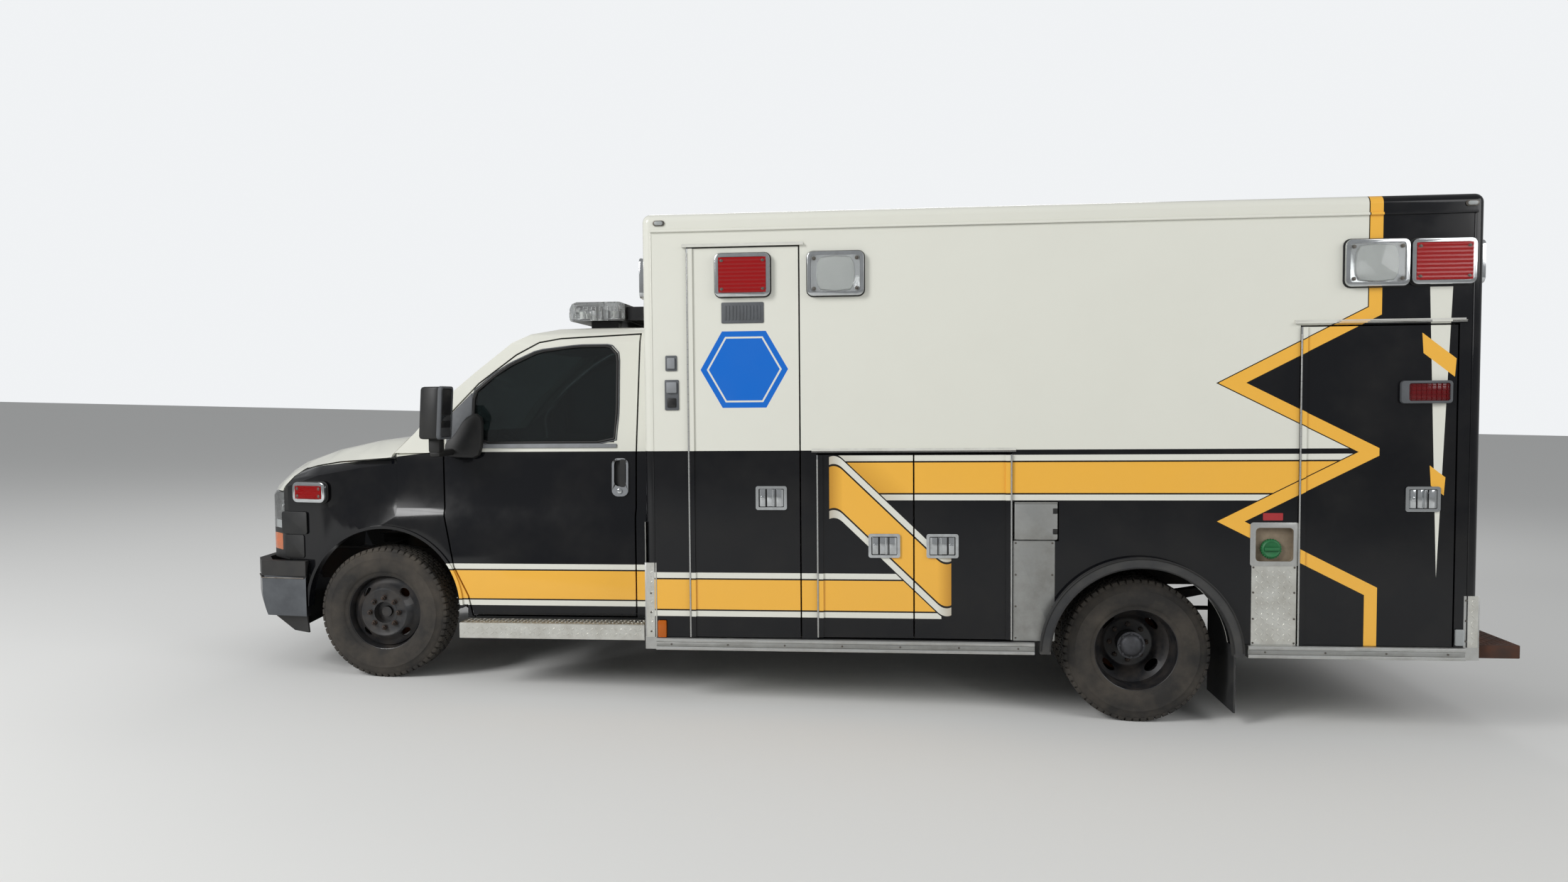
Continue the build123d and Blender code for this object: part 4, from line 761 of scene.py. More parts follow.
# Latches: lid, front, rear, bottom, top, whether the key stands ahead of the grip
LATCHES = (
    ("front_lid_left", 2.121, 2.281, 0.965, 1.088, True),
    ("lower_lid_left", 2.695, 2.855, 0.723, 0.843, True),
    ("middle_lid_left", 2.988, 3.147, 0.723, 0.843, False),
    ("rear_lid_left", 5.28, 5.442, 0.961, 1.082, True),
    ("front_lid_right", 1.945, 2.105, 0.965, 1.088, True),
    ("entry_door", 2.9, 3.06, 0.965, 1.088, True),
    ("rear_lid_right", 5.28, 5.442, 0.961, 1.082, True),
)
# Drip rails over the openings: side, front, rear, height
DRIP_RAILS = (
    (-1, 1.751, 2.374, 2.308), (-1, 2.409, 3.43, 1.262), (-1, 4.759, 5.544, 1.874),
    (1, 1.63, 2.17, 1.972), (1, 2.3, 3.14, 2.24), (1, 4.759, 5.544, 1.874),
)


def span(side, near, far):
    """Limits across the vehicle between two distances from its middle."""
    return sorted((side * near, side * far))


def off_side(side, out):
    """A place across the vehicle, so far out from a side wall."""
    return side * (SIDE + out)


def skin(side, near, far):
    """Limits across the vehicle between two distances out from a side wall."""
    return sorted((off_side(side, near), off_side(side, far)))


# Sections of rails on the side walls: distance out, height
DRIP_SECTION = ((0, 0), (0.014, -0.002), (0.017, 0.006), (0.014, 0.007), (0.012, 0.003), (0.002, 0.005),
                (0.002, 0.016), (0, 0.016))
GUTTER_SECTION = ((0, 0), (0.01, 0), (0.012, 0.004), (0.01, 0.012), (0, 0.014))
RUB_SECTION = ((0.0225, 0.2385), (0.027, 0.24), (0.029, 0.248), (0.027, 0.256), (0.0225, 0.258),
               (0.0225, 0.28), (0.027, 0.282), (0.029, 0.29), (0.027, 0.297), (0.0225, 0.2985),
               (0.0215, 0.2985), (0.0215, 0.2385))


def wall_rail(section, side, height, front, rear):
    """A rail along a side wall, from its section."""
    return prism("X", [(off_side(side, out), height + rise) for out, rise in section], front, rear)


def piano_hinge(x, y, bottom, top):
    """A full-height hinge: short knuckles on one pin."""
    pitch = 0.038
    knuckle = rod((x, y, bottom + 0.001), (x, y, bottom + pitch - 0.001), 0.0046, 12)
    return repeated(knuckle, int((top - bottom) / pitch), (0, 0, pitch))


# A latch's plates from its middle towards the grip, and how far they stand out of the skin
LATCH_PLATES = ((-0.057, -0.031, -0.001, 0.0045), (-0.022, 0.006, -0.006, 0.001),
                (0.009, 0.013, -0.004, 0.0086), (0.016, 0.02, -0.004, 0.006), (0.026, 0.053, -0.004, 0.0096))


def latch_fittings(side, front, rear, bottom, top, key_ahead):
    """A latch's grip plates, key cylinder and corner rivets, and the black tray behind them."""
    middle, height = (front + rear) / 2, (bottom + top) / 2
    turn = 1 if key_ahead else -1
    plates = [block(sorted((middle + turn * a, middle + turn * b)), skin(side, low, high),
                    (bottom + 0.0165, top - 0.0165), 0.001) for a, b, low, high in LATCH_PLATES]
    key = rod((middle - turn * 0.044, off_side(side, 0.004), height),
              (middle - turn * 0.044, off_side(side, 0.0075), height), 0.0105, 20, 0.001)
    slit = block(sorted((middle - turn * 0.043, middle - turn * 0.045)), skin(side, 0.0075, 0.0083),
                 (height - 0.005, height + 0.005))
    rivets = [rod((x, off_side(side, 0.008), z), (x, off_side(side, 0.0105), z), 0.003, 10)
              for x in (front + 0.007, rear - 0.007) for z in (bottom + 0.01, top - 0.01)]
    tray = [block(sorted((middle + turn * a, middle + turn * b)), skin(side, -0.0085, out),
                  (bottom + 0.0145, top - 0.0145))
            for a, b, out in ((-0.0315, -0.0215, 0.0003), (0.0055, 0.0265, 0.0005), (0.0525, 0.06, 0.0003))]
    return joined(*plates, key, slit, *rivets), joined(*tray)


def lid_lining(side, front, rear, bottom, top):
    """The pressed inner plate of a lid."""
    inner = off_side(side, -LID_DEPTH)
    plate = slab("Y", (front + 0.035, rear - 0.035), (bottom + 0.035, top - 0.035), 0.02, inner,
                 inner - side * 0.003, 0.001)
    dish = slab("Y", (front + 0.09, rear - 0.09), (bottom + 0.11, top - 0.11), 0.03, inner,
                inner - side * 0.006, 0.002)
    return joined(plate, dish)


def lid_seal(side, front, rear, bottom, top):
    """The bulb seal round a lid's inner face."""
    y = off_side(side, -LID_DEPTH - 0.004)
    points = [(x, y, z) for x, z in rounded((front + 0.016, rear - 0.016), (bottom + 0.016, top - 0.016),
                                            0.02, 3)]
    return wire(points, 0.0045, 8, True)


def lid_part(row, latch_row):
    """A chooser for a lid's faces: paint, steel of the hinge and latch, inner lining, or glass."""
    name, side, front, rear, _, _, edge = row
    latch = [limit + slack for limit, slack in zip(latch_row[1:5], (-0.001, 0.001, -0.001, 0.001))]

    def choose(at):
        out = side * at.y - SIDE
        hinge = at.x < front + 0.0008 if edge == "front" else at.x > rear - 0.0008
        if out > 0.0005 and hinge:
            return 1
        if inside(at, latch):
            if -0.009 < out < -0.0055:
                return 4
            return 1 if out > 0.0005 or -0.0055 < out < -0.0005 else 0
        if name == "entry_door" and inside(at, ENTRY_PANE):
            return 3
        return 2 if out < -0.03 else 0

    return choose


class AMBULANCE_OT_lids(bpy.types.Operator):
    """Make the hinges, latches, linings, seals and drip rails of the side doors and lids"""
    bl_idname = "ambulance.lids"
    bl_label = "Lid Fittings"

    def execute(self, context):
        for row in LIDS:
            name, side, front, rear, bottom, top, edge = row
            latch_row = next(r for r in LATCHES if r[0] == name)
            dressed(name, name, "module_paint", (MODULE_PAINT, "Chrome", "Brushed plate", "Tinted glass",
                                                 "Lamp black"), lid_part(row, latch_row))
            x = front - 0.004 if edge == "front" else rear + 0.004
            hinge = piano_hinge(x, off_side(side, HINGE_REACH), bottom, top)
            fit(hinge, f"{name}_hinge", name, "plain_aluminium", "Stainless")
            fit(lid_lining(side, front, rear, bottom, top), f"{name}_lining", name, "plain_aluminium",
                "Brushed plate")
            fit(lid_seal(side, front, rear, bottom, top), f"{name}_seal", name, "flare_rubber",
                "Black rubber")
        for name, front, rear, bottom, top, key_ahead in LATCHES:
            side = next(row[1] for row in LIDS if row[0] == name)
            fittings, tray = latch_fittings(side, front, rear, bottom, top, key_ahead)
            fit(fittings, f"{name}_latch_fittings", name, "plain_aluminium", "Chrome")
            fit(tray, f"{name}_latch_tray", name, "lamp_lens", "Lamp black")
        rails = [wall_rail(DRIP_SECTION, side, z, front, rear) for side, front, rear, z in DRIP_RAILS]
        fit(rails, "drip_rails", "root", "plain_aluminium", "White rail")
        gutters = [wall_rail(GUTTER_SECTION, side, 2.386, 1.59, 5.585) for side in (-1, 1)]
        fit(gutters, "gutters", "root", "module_paint", MODULE_PAINT)
        corners = [block((x - 0.003, x + 0.003), skin(side, 0, 0.0025), (0.3, 2.386), 0.001)
                   for side in (-1, 1) for x in (1.59, 5.575)]
        fit(corners, "corner_seams", "root", "module_paint", MODULE_PAINT)
        return {"FINISHED"}


# Lights: side, front, rear, bottom, top, kind, body
SIDE_LIGHTS = (
    (-1, 1.923, 2.205, 2.051, 2.27, "warning", "front_lid_left"),
    (-1, 2.393, 2.679, 2.048, 2.27, "scene", "root"),
    (-1, 4.981, 5.274, 2.045, 2.27, "scene", "root"),
    (-1, 5.282, 5.576, 2.05, 2.268, "warning", "root"),
    (1, 3.2, 3.486, 2.048, 2.27, "scene", "root"),
    (1, 4.981, 5.274, 2.045, 2.27, "scene", "root"),
    (1, 5.282, 5.576, 2.05, 2.268, "warning", "root"),
)
# Lights of the ends: across middle, half width, bottom, top, kind
FRONT_LIGHTS = (
    (1.01, 0.141, 2.06, 2.27, "warning"), (0.64, 0.141, 2.2, 2.4, "warning"),
    (0.22, 0.141, 2.2, 2.4, "clear"),
)
REAR_LIGHTS = (
    (1.02, 0.141, 2.06, 2.27, "warning"), (0.56, 0.141, 2.262, 2.39, "scene"),
    (1.02, 0.09, 0.9, 1.08, "warning"), (1.02, 0.09, 0.7, 0.88, "amber"),
)


def stretched(middle, half, count):
    """Evenly spaced places between two ends."""
    return [middle - half + 2 * half * (i + 0.5) / count for i in range(count)]


# A scene lamp's bulb seen from the front, as shares of the lamp's half width and half height
BULB_OUTLINE = ((-0.78, 0), (-0.74, 0.55), (-0.62, 0.86), (0, 0.95), (0.62, 0.86), (0.74, 0.55), (0.78, 0),
                (0.74, -0.55), (0.62, -0.86), (0, -0.95), (-0.62, -0.86), (-0.74, -0.55))
FLUTES = 9


def lamp_parts(width, height, kind):
    """A surface lamp about its own centre, facing along minus Y: parts with their finishes."""
    half, rise = width / 2, height / 2
    ring = cut(slab("Y", (-half, half), (-rise, rise), 0.03, 0.0, -0.03, 0.004),
               slab("Y", (-half + 0.019, half - 0.019), (-rise + 0.019, rise - 0.019), 0.018, -0.006, -0.05))
    gasket = slab("Y", (-half - 0.005, half + 0.005), (-rise - 0.005, rise + 0.005), 0.034, 0.0, -0.006,
                  0.002)
    parts = [(ring, "Chrome" if kind != "amber" else "Black moulding"), (gasket, "Black rubber")]
    a, b = half - 0.02, rise - 0.02
    screws = []
    for x in (-a + 0.016, a - 0.016):
        for z in (-b + 0.016, b - 0.016):
            screws.append(joined(rod((x, -0.024, z), (x, -0.0345, z), 0.0062, 12, 0.001),
                                 rod((x, -0.024, z), (x, -0.0325, z), 0.0095, 12)))
    parts.append((joined(*screws), "Dull steel"))
    parts.append((slab("Y", (-a, a), (-b, b), 0.012, -0.007, -0.01), "Reflector"))
    if kind == "scene":
        barrel = prism("Y", [(across * a, up * b) for across, up in BULB_OUTLINE], -0.009, -0.0235, 0.006)
        lens_piece = slab("Y", (-a, a), (-b, b), 0.014, -0.0245, -0.0285, 0.0012)
        parts += [(barrel, "White bulb"), (lens_piece, "Clear lens")]
    else:
        colour = {"warning": "Red lens", "amber": "Amber lens", "clear": "Clear lens"}[kind]
        bowls = []
        for z in (-0.5 * b, 0.5 * b):
            bowl = [(-0.01 - 0.01 * (1 - (t / 4 - 1) ** 2), z + (t / 4 - 1) * 0.4 * b) for t in range(9)]
            bowls.append(prism("X", bowl, -0.86 * a, 0.86 * a))
        flutes = []
        for i in range(FLUTES):
            low = -b + 2 * b * i / FLUTES
            flutes += [(-0.03, low + 0.0006), (-0.0335, low + 0.35 * 2 * b / FLUTES),
                       (-0.0335, low + 0.65 * 2 * b / FLUTES), (-0.03, low + 2 * b / FLUTES - 0.0006)]
        lens_piece = prism("X", [(-0.0245, -b), *flutes, (-0.0245, b)], -a, a)
        parts += [(joined(*bowls), "Reflector"), (lens_piece, colour)]
    return parts


def set_lamp(parts, move, turn):
    """Turns a lamp's parts to face out of their wall and moves them there."""
    for piece, _ in parts:
        piece.data.transform(Matrix.Translation(move) @ Matrix.Rotation(turn, 4, "Z"))


def fit_lamps(label, lamps, body, slot):
    """Joins the same parts of several lamps and fits them."""
    groups = {}
    for parts in lamps:
        for piece, finish in parts:
            groups.setdefault(finish, []).append(piece)
    return [fit(pieces, f"{label}_{finish.lower().replace(' ', '_').replace('-', '_')}", body, slot, finish)
            for finish, pieces in groups.items()]


class AMBULANCE_OT_lights(bpy.types.Operator):
    """Make the warning and scene lights and the markers"""
    bl_idname = "ambulance.lights"
    bl_label = "Lights"

    def execute(self, context):
        fixed, swinging = [], []
        for side, front, rear, bottom, top, kind, body in SIDE_LIGHTS:
            parts = lamp_parts(rear - front, top - bottom, kind)
            set_lamp(parts, ((front + rear) / 2, side * SIDE, (bottom + top) / 2), 0 if side < 0 else math.pi)
            (fixed if body == "root" else swinging).append(parts)
        for lights, x, turn in ((FRONT_LIGHTS, MODULE_FRONT, -math.pi / 2),
                                (REAR_LIGHTS, MODULE_REAR, math.pi / 2)):
            for across, half, bottom, top, kind in lights:
                for side in (-1, 1):
                    parts = lamp_parts(2 * half, top - bottom, kind)
                    set_lamp(parts, (x, side * across, (bottom + top) / 2), turn)
                    fixed.append(parts)
        made = fit_lamps("wall_lights", fixed, "root", "lamp_lens")
        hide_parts("warning_lights")
        made = fit_lamps("lid_light", swinging, "front_lid_left", "lamp_lens")
        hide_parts("front_lid_light")

        # Side markers on the rear lids, behind a grille of fine bars
        for side, name in ((-1, "rear_lid_left"), (1, "rear_lid_right")):
            frame_piece = cut(slab("Y", (5.247, 5.482), (1.483, 1.592), 0.016, side * SIDE,
                                   off_side(side, 0.024), 0.004),
                              slab("Y", (5.282, 5.47), (1.495, 1.58), 0.01, off_side(side, 0.01),
                                   off_side(side, 0.05)))
            fit(frame_piece, f"{name}_marker_frame", name, "bumper_plastic", "Grey trim")
            bars = [block((5.283, 5.469), skin(side, 0.01, 0.021), (z - 0.0015, z + 0.0015))
                    for z in stretched(1.5375, 0.042, 4)]
            bars += [block((x - 0.0015, x + 0.0015), skin(side, 0.01, 0.021), (1.496, 1.579))
                     for x in stretched(5.376, 0.093, 8)]
            fit(bars, f"{name}_marker_grid", name, "lamp_lens", "Deep red lens")
            plate = block((5.283, 5.469), skin(side, 0.009, 0.017), (1.496, 1.579), 0.002)
            fit(plate, f"{name}_marker_lens", name, "lamp_lens", "Deep red lens")

        # Small oval markers along the roof's edge, at the corners and low on the sides
        bases, clears, ambers, reds = [], [], [], []
        for side in (-1, 1):
            for x in (1.634, 5.56):
                bases.append(slab("Y", (x - 0.03, x + 0.03), (2.418, 2.446), 0.013, side * SIDE,
                                  off_side(side, 0.006), 0.001))
                clears.append(slab("Y", (x - 0.022, x + 0.022), (2.422, 2.442), 0.0095, off_side(side, 0.004),
                                   off_side(side, 0.014), 0.004))
            ambers.append(block((1.604, 1.65), skin(side, 0, 0.018), (0.301, 0.39), 0.006))
            clears.append(block((5.519, 5.562), skin(side, 0, 0.016), (0.31, 0.389), 0.006))
        for across in (-0.9, -0.16, 0.0, 0.16, 0.9):
            for x, out, group in ((MODULE_FRONT, -1, ambers), (MODULE_REAR, 1, reds)):
                bases.append(slab("X", (across - 0.03, across + 0.03), (2.422, 2.45), 0.013, x,
                                  x + out * 0.006, 0.001))
                group.append(slab("X", (across - 0.022, across + 0.022), (2.426, 2.446), 0.0095,
                                  x + out * 0.004, x + out * 0.014, 0.004))
        fit(bases, "marker_bases", "root", "lamp_lens", "Dull steel")
        fit(clears, "marker_lenses_clear", "root", "lamp_lens", "Frosted lens")
        fit(ambers, "marker_lenses_amber", "root", "lamp_lens", "Amber lens")
        fit(reds, "marker_lenses_red", "root", "lamp_lens", "Red lens")
        return {"FINISHED"}


# Cab: how far its sides stand from the middle, by height
CAB_SIDES = ((0.318, 1.008), (0.905, 1.008), (0.95, 0.978), (1.215, 0.962), (1.359, 0.936), (1.54, 0.896),
             (1.694, 0.863), (1.857, 0.827), (1.905, 0.79), (1.934, 0.73))
DOOR_WINDOW = ((0.52, 1.305), (0.516, 1.579), (0.631, 1.677), (0.721, 1.735), (0.876, 1.806), (1.087, 1.832),
               (1.271, 1.832), (1.318, 1.782), (1.326, 1.478), (1.316, 1.305))


def inside(at, field):
    """Whether a point lies between the front, rear, bottom and top of a field."""
    front, rear, bottom, top = field
    return front < at.x < rear and bottom < at.z < top


def cab_half(z):
    """How far the cab's side stands from the middle at a height."""
    for (low, near), (high, far) in zip(CAB_SIDES, CAB_SIDES[1:]):
        if z <= high:
            return near + (far - near) * max(0.0, z - low) / (high - low)
    return CAB_SIDES[-1][1]


def side_line(points, side, out):
    """Points of a side view laid on the cab's side."""
    return [(x, side * (cab_half(z) + out), z) for x, z in points]


def softened(points, share=0.18, rounds=2):
    """A closed outline with its corners cut a few times, so that it turns smoothly."""
    for _ in range(rounds):
        smoother = []
        for (a, b), (c, d) in zip(points, (*points[1:], points[0])):
            smoother += [(a + share * (c - a), b + share * (d - b)),
                         (c - share * (c - a), d - share * (d - b))]
        points = smoother
    return points


def hugging(piece, side):
    """Bends a piece that was made on the plane Y = 0 onto the cab's side, outwards of it."""
    for vertex in piece.data.vertices:
        vertex.co.y = side * (cab_half(vertex.co.z) + vertex.co.y)
    if side < 0:
        piece.data.flip_normals()
    return piece


def leaned(piece):
    """Leans a mirror's part back a little, about the mirror's middle."""
    for vertex in piece.data.vertices:
        vertex.co.x += 0.06 * (vertex.co.z - 1.47)


def dressed(name, body, slot, finishes, choose, levels=(), shape=None):
    """A copy of a CAD node whose faces take different finishes, chosen by number from a face's middle.
    It can be cut across at some levels first, and its points moved."""
    node = frame["nodes"][name]
    panel = node.copy()
    panel.data = node.data.copy()
    bpy.context.scene.collection.objects.link(panel)
    pick(panel)
    bpy.ops.mesh.customdata_custom_splitnormals_clear()
    edit_all()
    bpy.ops.mesh.remove_doubles(threshold=0.00001)
    bpy.ops.object.mode_set(mode="OBJECT")
    panel.data.materials.clear()
    for finish in finishes:
        panel.data.materials.append(bpy.data.materials[finish])
    panel.data.transform(STANCE.inverted())
    for level in levels:
        pick(panel)
        edit_all()
        bpy.ops.mesh.bisect(plane_co=(0, 0, level), plane_no=(0, 0, 1))
        bpy.ops.object.mode_set(mode="OBJECT")
    if shape:
        for vertex in panel.data.vertices:
            vertex.co = shape(vertex.co)
    for face in panel.data.polygons:
        face.material_index = choose(face.center)
    fit(panel, f"{name}_form", body, slot)
    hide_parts(name)
    return panel


# Fields on a cab door: front, rear, bottom, top
DOOR_PANE = (0.515, 1.33, 1.304, 1.836)
HANDLE_FIELD = (1.305, 1.403, 1.009, 1.224)
HANDLE_POCKET = (1.319, 1.389, 1.065, 1.212)


def door_part(at):
    """A cab door's faces: paint, glass, handle bezel, grip and pocket, or inner trim."""
    depth = cab_half(at.z) - abs(at.y)
    if inside(at, DOOR_PANE) and 0.0045 < depth < 0.0135:
        return 1
    if inside(at, HANDLE_FIELD) and depth < 0.0125:
        if inside(at, HANDLE_POCKET):
            return 3
        return 2 if depth < -0.0005 else 0
    return 4 if depth > 0.03 else 0


# The fender's rear end: length that draws in, where it ends, its half width, and the foot of what draws in
FENDER_REACH = 0.353
FENDER_END = 0.093
FENDER_HALF = 1.0015
FENDER_FOOT = 0.9


def fender_shape(at):
    """Draws a fender's rear end in to the cab's side, so that the two meet without a step."""
    rear = min(1.0, max(0.0, (at.x + FENDER_REACH) / FENDER_REACH))
    outer = min(1.0, max(0.0, (abs(at.y) - 0.88) / 0.07))
    proud = at.x < FENDER_END or abs(at.y) > cab_half(at.z) + 0.001
    inward = rear * outer * max(0.0, FENDER_HALF - cab_half(at.z)) if at.z > FENDER_FOOT and proud else 0.0
    return Vector((at.x, math.copysign(abs(at.y) - inward, at.y), at.z))


# The windscreen's plane: X of its foot at the middle, the foot's height, lean and sweep
SCREEN_FOOT = 0.215
SCREEN_LEVEL = 1.36
SCREEN_LEAN = 1.08
SCREEN_SWEEP = 0.06
# The cab's room: rear, floor and roof
CAB_ROOM = (1.47, 0.73, 1.875)


def shell_part(at):
    """The cab shell's painted skin, or the trim inside it."""
    rear, floor, roof = CAB_ROOM
    behind_screen = at.x > SCREEN_FOOT + SCREEN_LEAN * (at.z - SCREEN_LEVEL) + SCREEN_SWEEP * abs(at.y)
    indoors = cab_half(at.z) - abs(at.y) > 0.03 and at.x < rear and floor < at.z < roof
    return 1 if indoors and behind_screen else 0


# A mirror's shell from above, about its middle, and its foot from the side
MIRROR_PLAN = ((0.47, -0.08), (0.47, 0.08), (0.43, 0.082), (0.376, 0.07), (0.345, 0.045), (0.334, 0.0),
               (0.345, -0.045), (0.376, -0.07), (0.43, -0.082))
MIRROR_FOOT = ((0.378, 1.24), (0.378, 1.31), (0.425, 1.345), (0.48, 1.44), (0.54, 1.472), (0.586, 1.44),
               (0.592, 1.3), (0.575, 1.222), (0.42, 1.228))


class AMBULANCE_OT_cab(bpy.types.Operator):
    """Dress the cab: glass, seals, door handles, mirrors and inner panels"""
    bl_idname = "ambulance.cab"
    bl_label = "Cab"

    def execute(self, context):
        for side, name in ((-1, "cab_door_left"), (1, "cab_door_right")):
            window = softened(DOOR_WINDOW, 0.12, 1)
            seal = wire(side_line(window, side, -0.001), 0.0075, 8, True)
            fit(seal, f"{name}_window_seal", name, "flare_rubber", "Black rubber")
            wider = [(a + 0.011 * math.copysign(1, a - 0.9), b + 0.008 * math.copysign(1, b - 1.55))
                     for a, b in DOOR_WINDOW]
            edge = wire(side_line(softened(wider, 0.12, 1), side, 0.001), 0.004, 8, True)
            fit(edge, f"{name}_window_trim", name, "mirror_plastic", "Grey trim")
            sill = prism("Y", rounded((0.52, 1.332), (1.276, 1.298), 0.004, 2), 0.0, 0.008, 0.002)
            fit(hugging(sill, side), f"{name}_belt_trim", name, "plain_aluminium", "Light grey trim")
            sail = prism("Y", [(0.372, 1.262), (0.372, 1.445), (0.505, 1.582), (0.508, 1.262)], -0.004, 0.006,
                         0.002)
            fit(hugging(sail, side), f"{name}_sail", name, "mirror_plastic", "Grey trim")
            # Door handle's lock
            lock = joined(prism("Y", rounded((1.34, 1.366), (1.03, 1.056), 0.0125, 6), 0.01, 0.017, 0.002),
                          block((1.352, 1.354), (0.0165, 0.0178), (1.037, 1.049)))
            fit(hugging(lock, side), f"{name}_lock", name, "plain_aluminium", "Chrome")
            # Mirror: tall shell, grey rear rim with a flat and a wide-angle glass, arm and foot on the sail
            y = side * 1.18
            shell = prism("Z", [(a, y + b) for a, b in MIRROR_PLAN], 1.336, 1.612, 0.016)
            leaned(shell)
            rim = cut(slab("X", (y - 0.082, y + 0.082), (1.334, 1.614), 0.022, 0.452, 0.474, 0.004),
                      slab("X", (y - 0.07, y + 0.07), (1.346, 1.602), 0.014, 0.466, 0.49))
            leaned(rim)
            divider = block((0.455, 0.466), (y - 0.07, y + 0.07), (1.424, 1.43))
            made = fit(shell, f"{name}_mirror_shell", name, "mirror_plastic", "Black moulding")
            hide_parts(name.replace("cab_door", "mirror"))
            fit([rim, divider], f"{name}_mirror_rim", name, "mirror_plastic", "Grey trim")
            glass = joined(slab("X", (y - 0.067, y + 0.067), (1.432, 1.599), 0.012, 0.466, 0.4695),
                           slab("X", (y - 0.067, y + 0.067), (1.349, 1.424), 0.012, 0.462, 0.4655))
            fit(glass, f"{name}_mirror_glass", name, "plain_aluminium", "Mirror glass")
            foot = hugging(prism("Y", softened(MIRROR_FOOT, 0.2, 1), 0.0, 0.05, 0.018), side)
            outer = side * 1.175
            beam = joined(block((0.38, 0.44), span(side, 0.955, 1.205), (1.24, 1.276), 0.014),
                          block((0.378, 0.442), (outer - 0.035, outer + 0.035), (1.262, 1.345), 0.012))
            fit([foot, beam], f"{name}_mirror_arm", name, "mirror_plastic", "Black moulding")
            # Inner face: padded panel and armrest
            panel = prism("Y", [(0.55, 0.45), (0.55, 1.25), (1.36, 1.25), (1.36, 0.45)], 0, 0.016, 0.006)
            for vertex in panel.data.vertices:
                vertex.co.y = side * (cab_half(vertex.co.z) - 0.06 - vertex.co.y)
            rest = block((0.7, 1.2), span(side, 0.83, 0.9), (0.93, 0.98), 0.015)
            fit([panel, rest], f"{name}_inner_panel", name, "interior_plastic", "Cab grey plastic")
            dressed(name, name, "cab_paint", (CAB_PAINT, "Tinted glass", "Light grey trim", "Black moulding",
                                              "Cab grey plastic"), door_part)
        dressed("hood", "hood", "cab_paint", (CAB_PAINT,), lambda at: 0)
        dressed("front_fenders", "root", "cab_paint", (CAB_PAINT,), lambda at: 0, (0.95, 1.1), fender_shape)
        dressed("cab_shell", "root", "cab_paint", (CAB_PAINT, "Headliner"), shell_part)
        return {"FINISHED"}


# Sheets of tread plate: facing axis, place on it, limits across and up, in metres
PLATE_SHEETS = (
    ("Y", -1.1505, (0.506, 1.514), (0.268, 0.346), -1), ("Y", 1.1505, (0.506, 1.514), (0.268, 0.346), 1),
    ("Z", 0.3475, (0.506, 1.514), (-1.149, -1.012), 1), ("Z", 0.3475, (0.506, 1.514), (1.012, 1.149), 1),
    ("Y", -1.2192, (4.57, 4.782), (0.298, 0.694), -1), ("Y", -1.2192, (5.58, 5.626), (0.3, 0.551), -1),
    ("Y", 1.2192, (5.58, 5.626), (0.3, 0.551), 1), ("Y", -1.2192, (1.545, 1.597), (0.3, 0.689), -1),
    ("Y", 1.2192, (1.545, 1.597), (0.3, 0.689), 1),
    ("X", 1.5415, (-1.215, -0.99), (0.3, 0.9), -1), ("X", 1.5415, (0.99, 1.215), (0.3, 0.9), -1),
    ("X", 5.6285, (-1.175, -0.8), (0.31, 0.64), 1), ("X", 5.6285, (0.8, 1.175), (0.31, 0.64), 1),
)
# A lozenge of the plate, along and across its own length, and the distance from one to the next
LOZENGE = ((-0.0115, 0), (-0.004, -0.0032), (0.004, -0.0032), (0.0115, 0), (0.004, 0.0032), (-0.004, 0.0032))
LOZENGE_PITCH = 0.026


def tread_sheet(axis, place, across, up, facing):
    """A thin sheet with raised lozenges, each row slanting the other way."""
    sheet_thick, rise = 0.0022, 0.0014
    base = prism("Z", rounded(across, up, 0.004, 2), 0.0, sheet_thick)
    pitch = LOZENGE_PITCH
    columns = int((across[1] - across[0] - 0.012) / pitch)
    rows = int((up[1] - up[0] - 0.012) / pitch)
    start = ((across[0] + across[1] - (columns - 1) * pitch) / 2, (up[0] + up[1] - (rows - 1) * pitch) / 2)
    bars = []
    for turn, a, b in ((0.8, 0, 0), (-0.8, 1, 0), (-0.8, 0, 1), (0.8, 1, 1)):
        if a >= columns or b >= rows:
            continue
        centre = (start[0] + a * pitch, start[1] + b * pitch)
        lean = (math.cos(turn), math.sin(turn))
        shape = [(centre[0] + s * lean[0] - t * lean[1], centre[1] + s * lean[1] + t * lean[0])
                 for s, t in LOZENGE]
        bar = prism("Z", shape, sheet_thick - 0.0004, sheet_thick + rise)
        for vertex in bar.data.vertices:
            if vertex.co.z > sheet_thick:
                vertex.co.x += 0.22 * (centre[0] - vertex.co.x)
                vertex.co.y += 0.22 * (centre[1] - vertex.co.y)
        bar = repeated(bar, (columns - a + 1) // 2, (2 * pitch, 0, 0))
        bars.append(repeated(bar, (rows - b + 1) // 2, (0, 2 * pitch, 0)))
    sheet = joined(base, *bars)
    for vertex in sheet.data.vertices:
        a, b, out = vertex.co
        spot = [a, b]
        spot.insert("XYZ".index(axis), place + facing * out)
        vertex.co = spot
    if (axis == "Y") == (facing > 0):
        sheet.data.flip_normals()
    return sheet


def screw_row(points, facing, radius=0.005, rise=0.0024):
    """Round-headed screws at points, facing out along a direction."""
    return joined(*[rod(point, [p + rise * f for p, f in zip(point, facing)], radius, 12, 0.001)
                    for point in points])


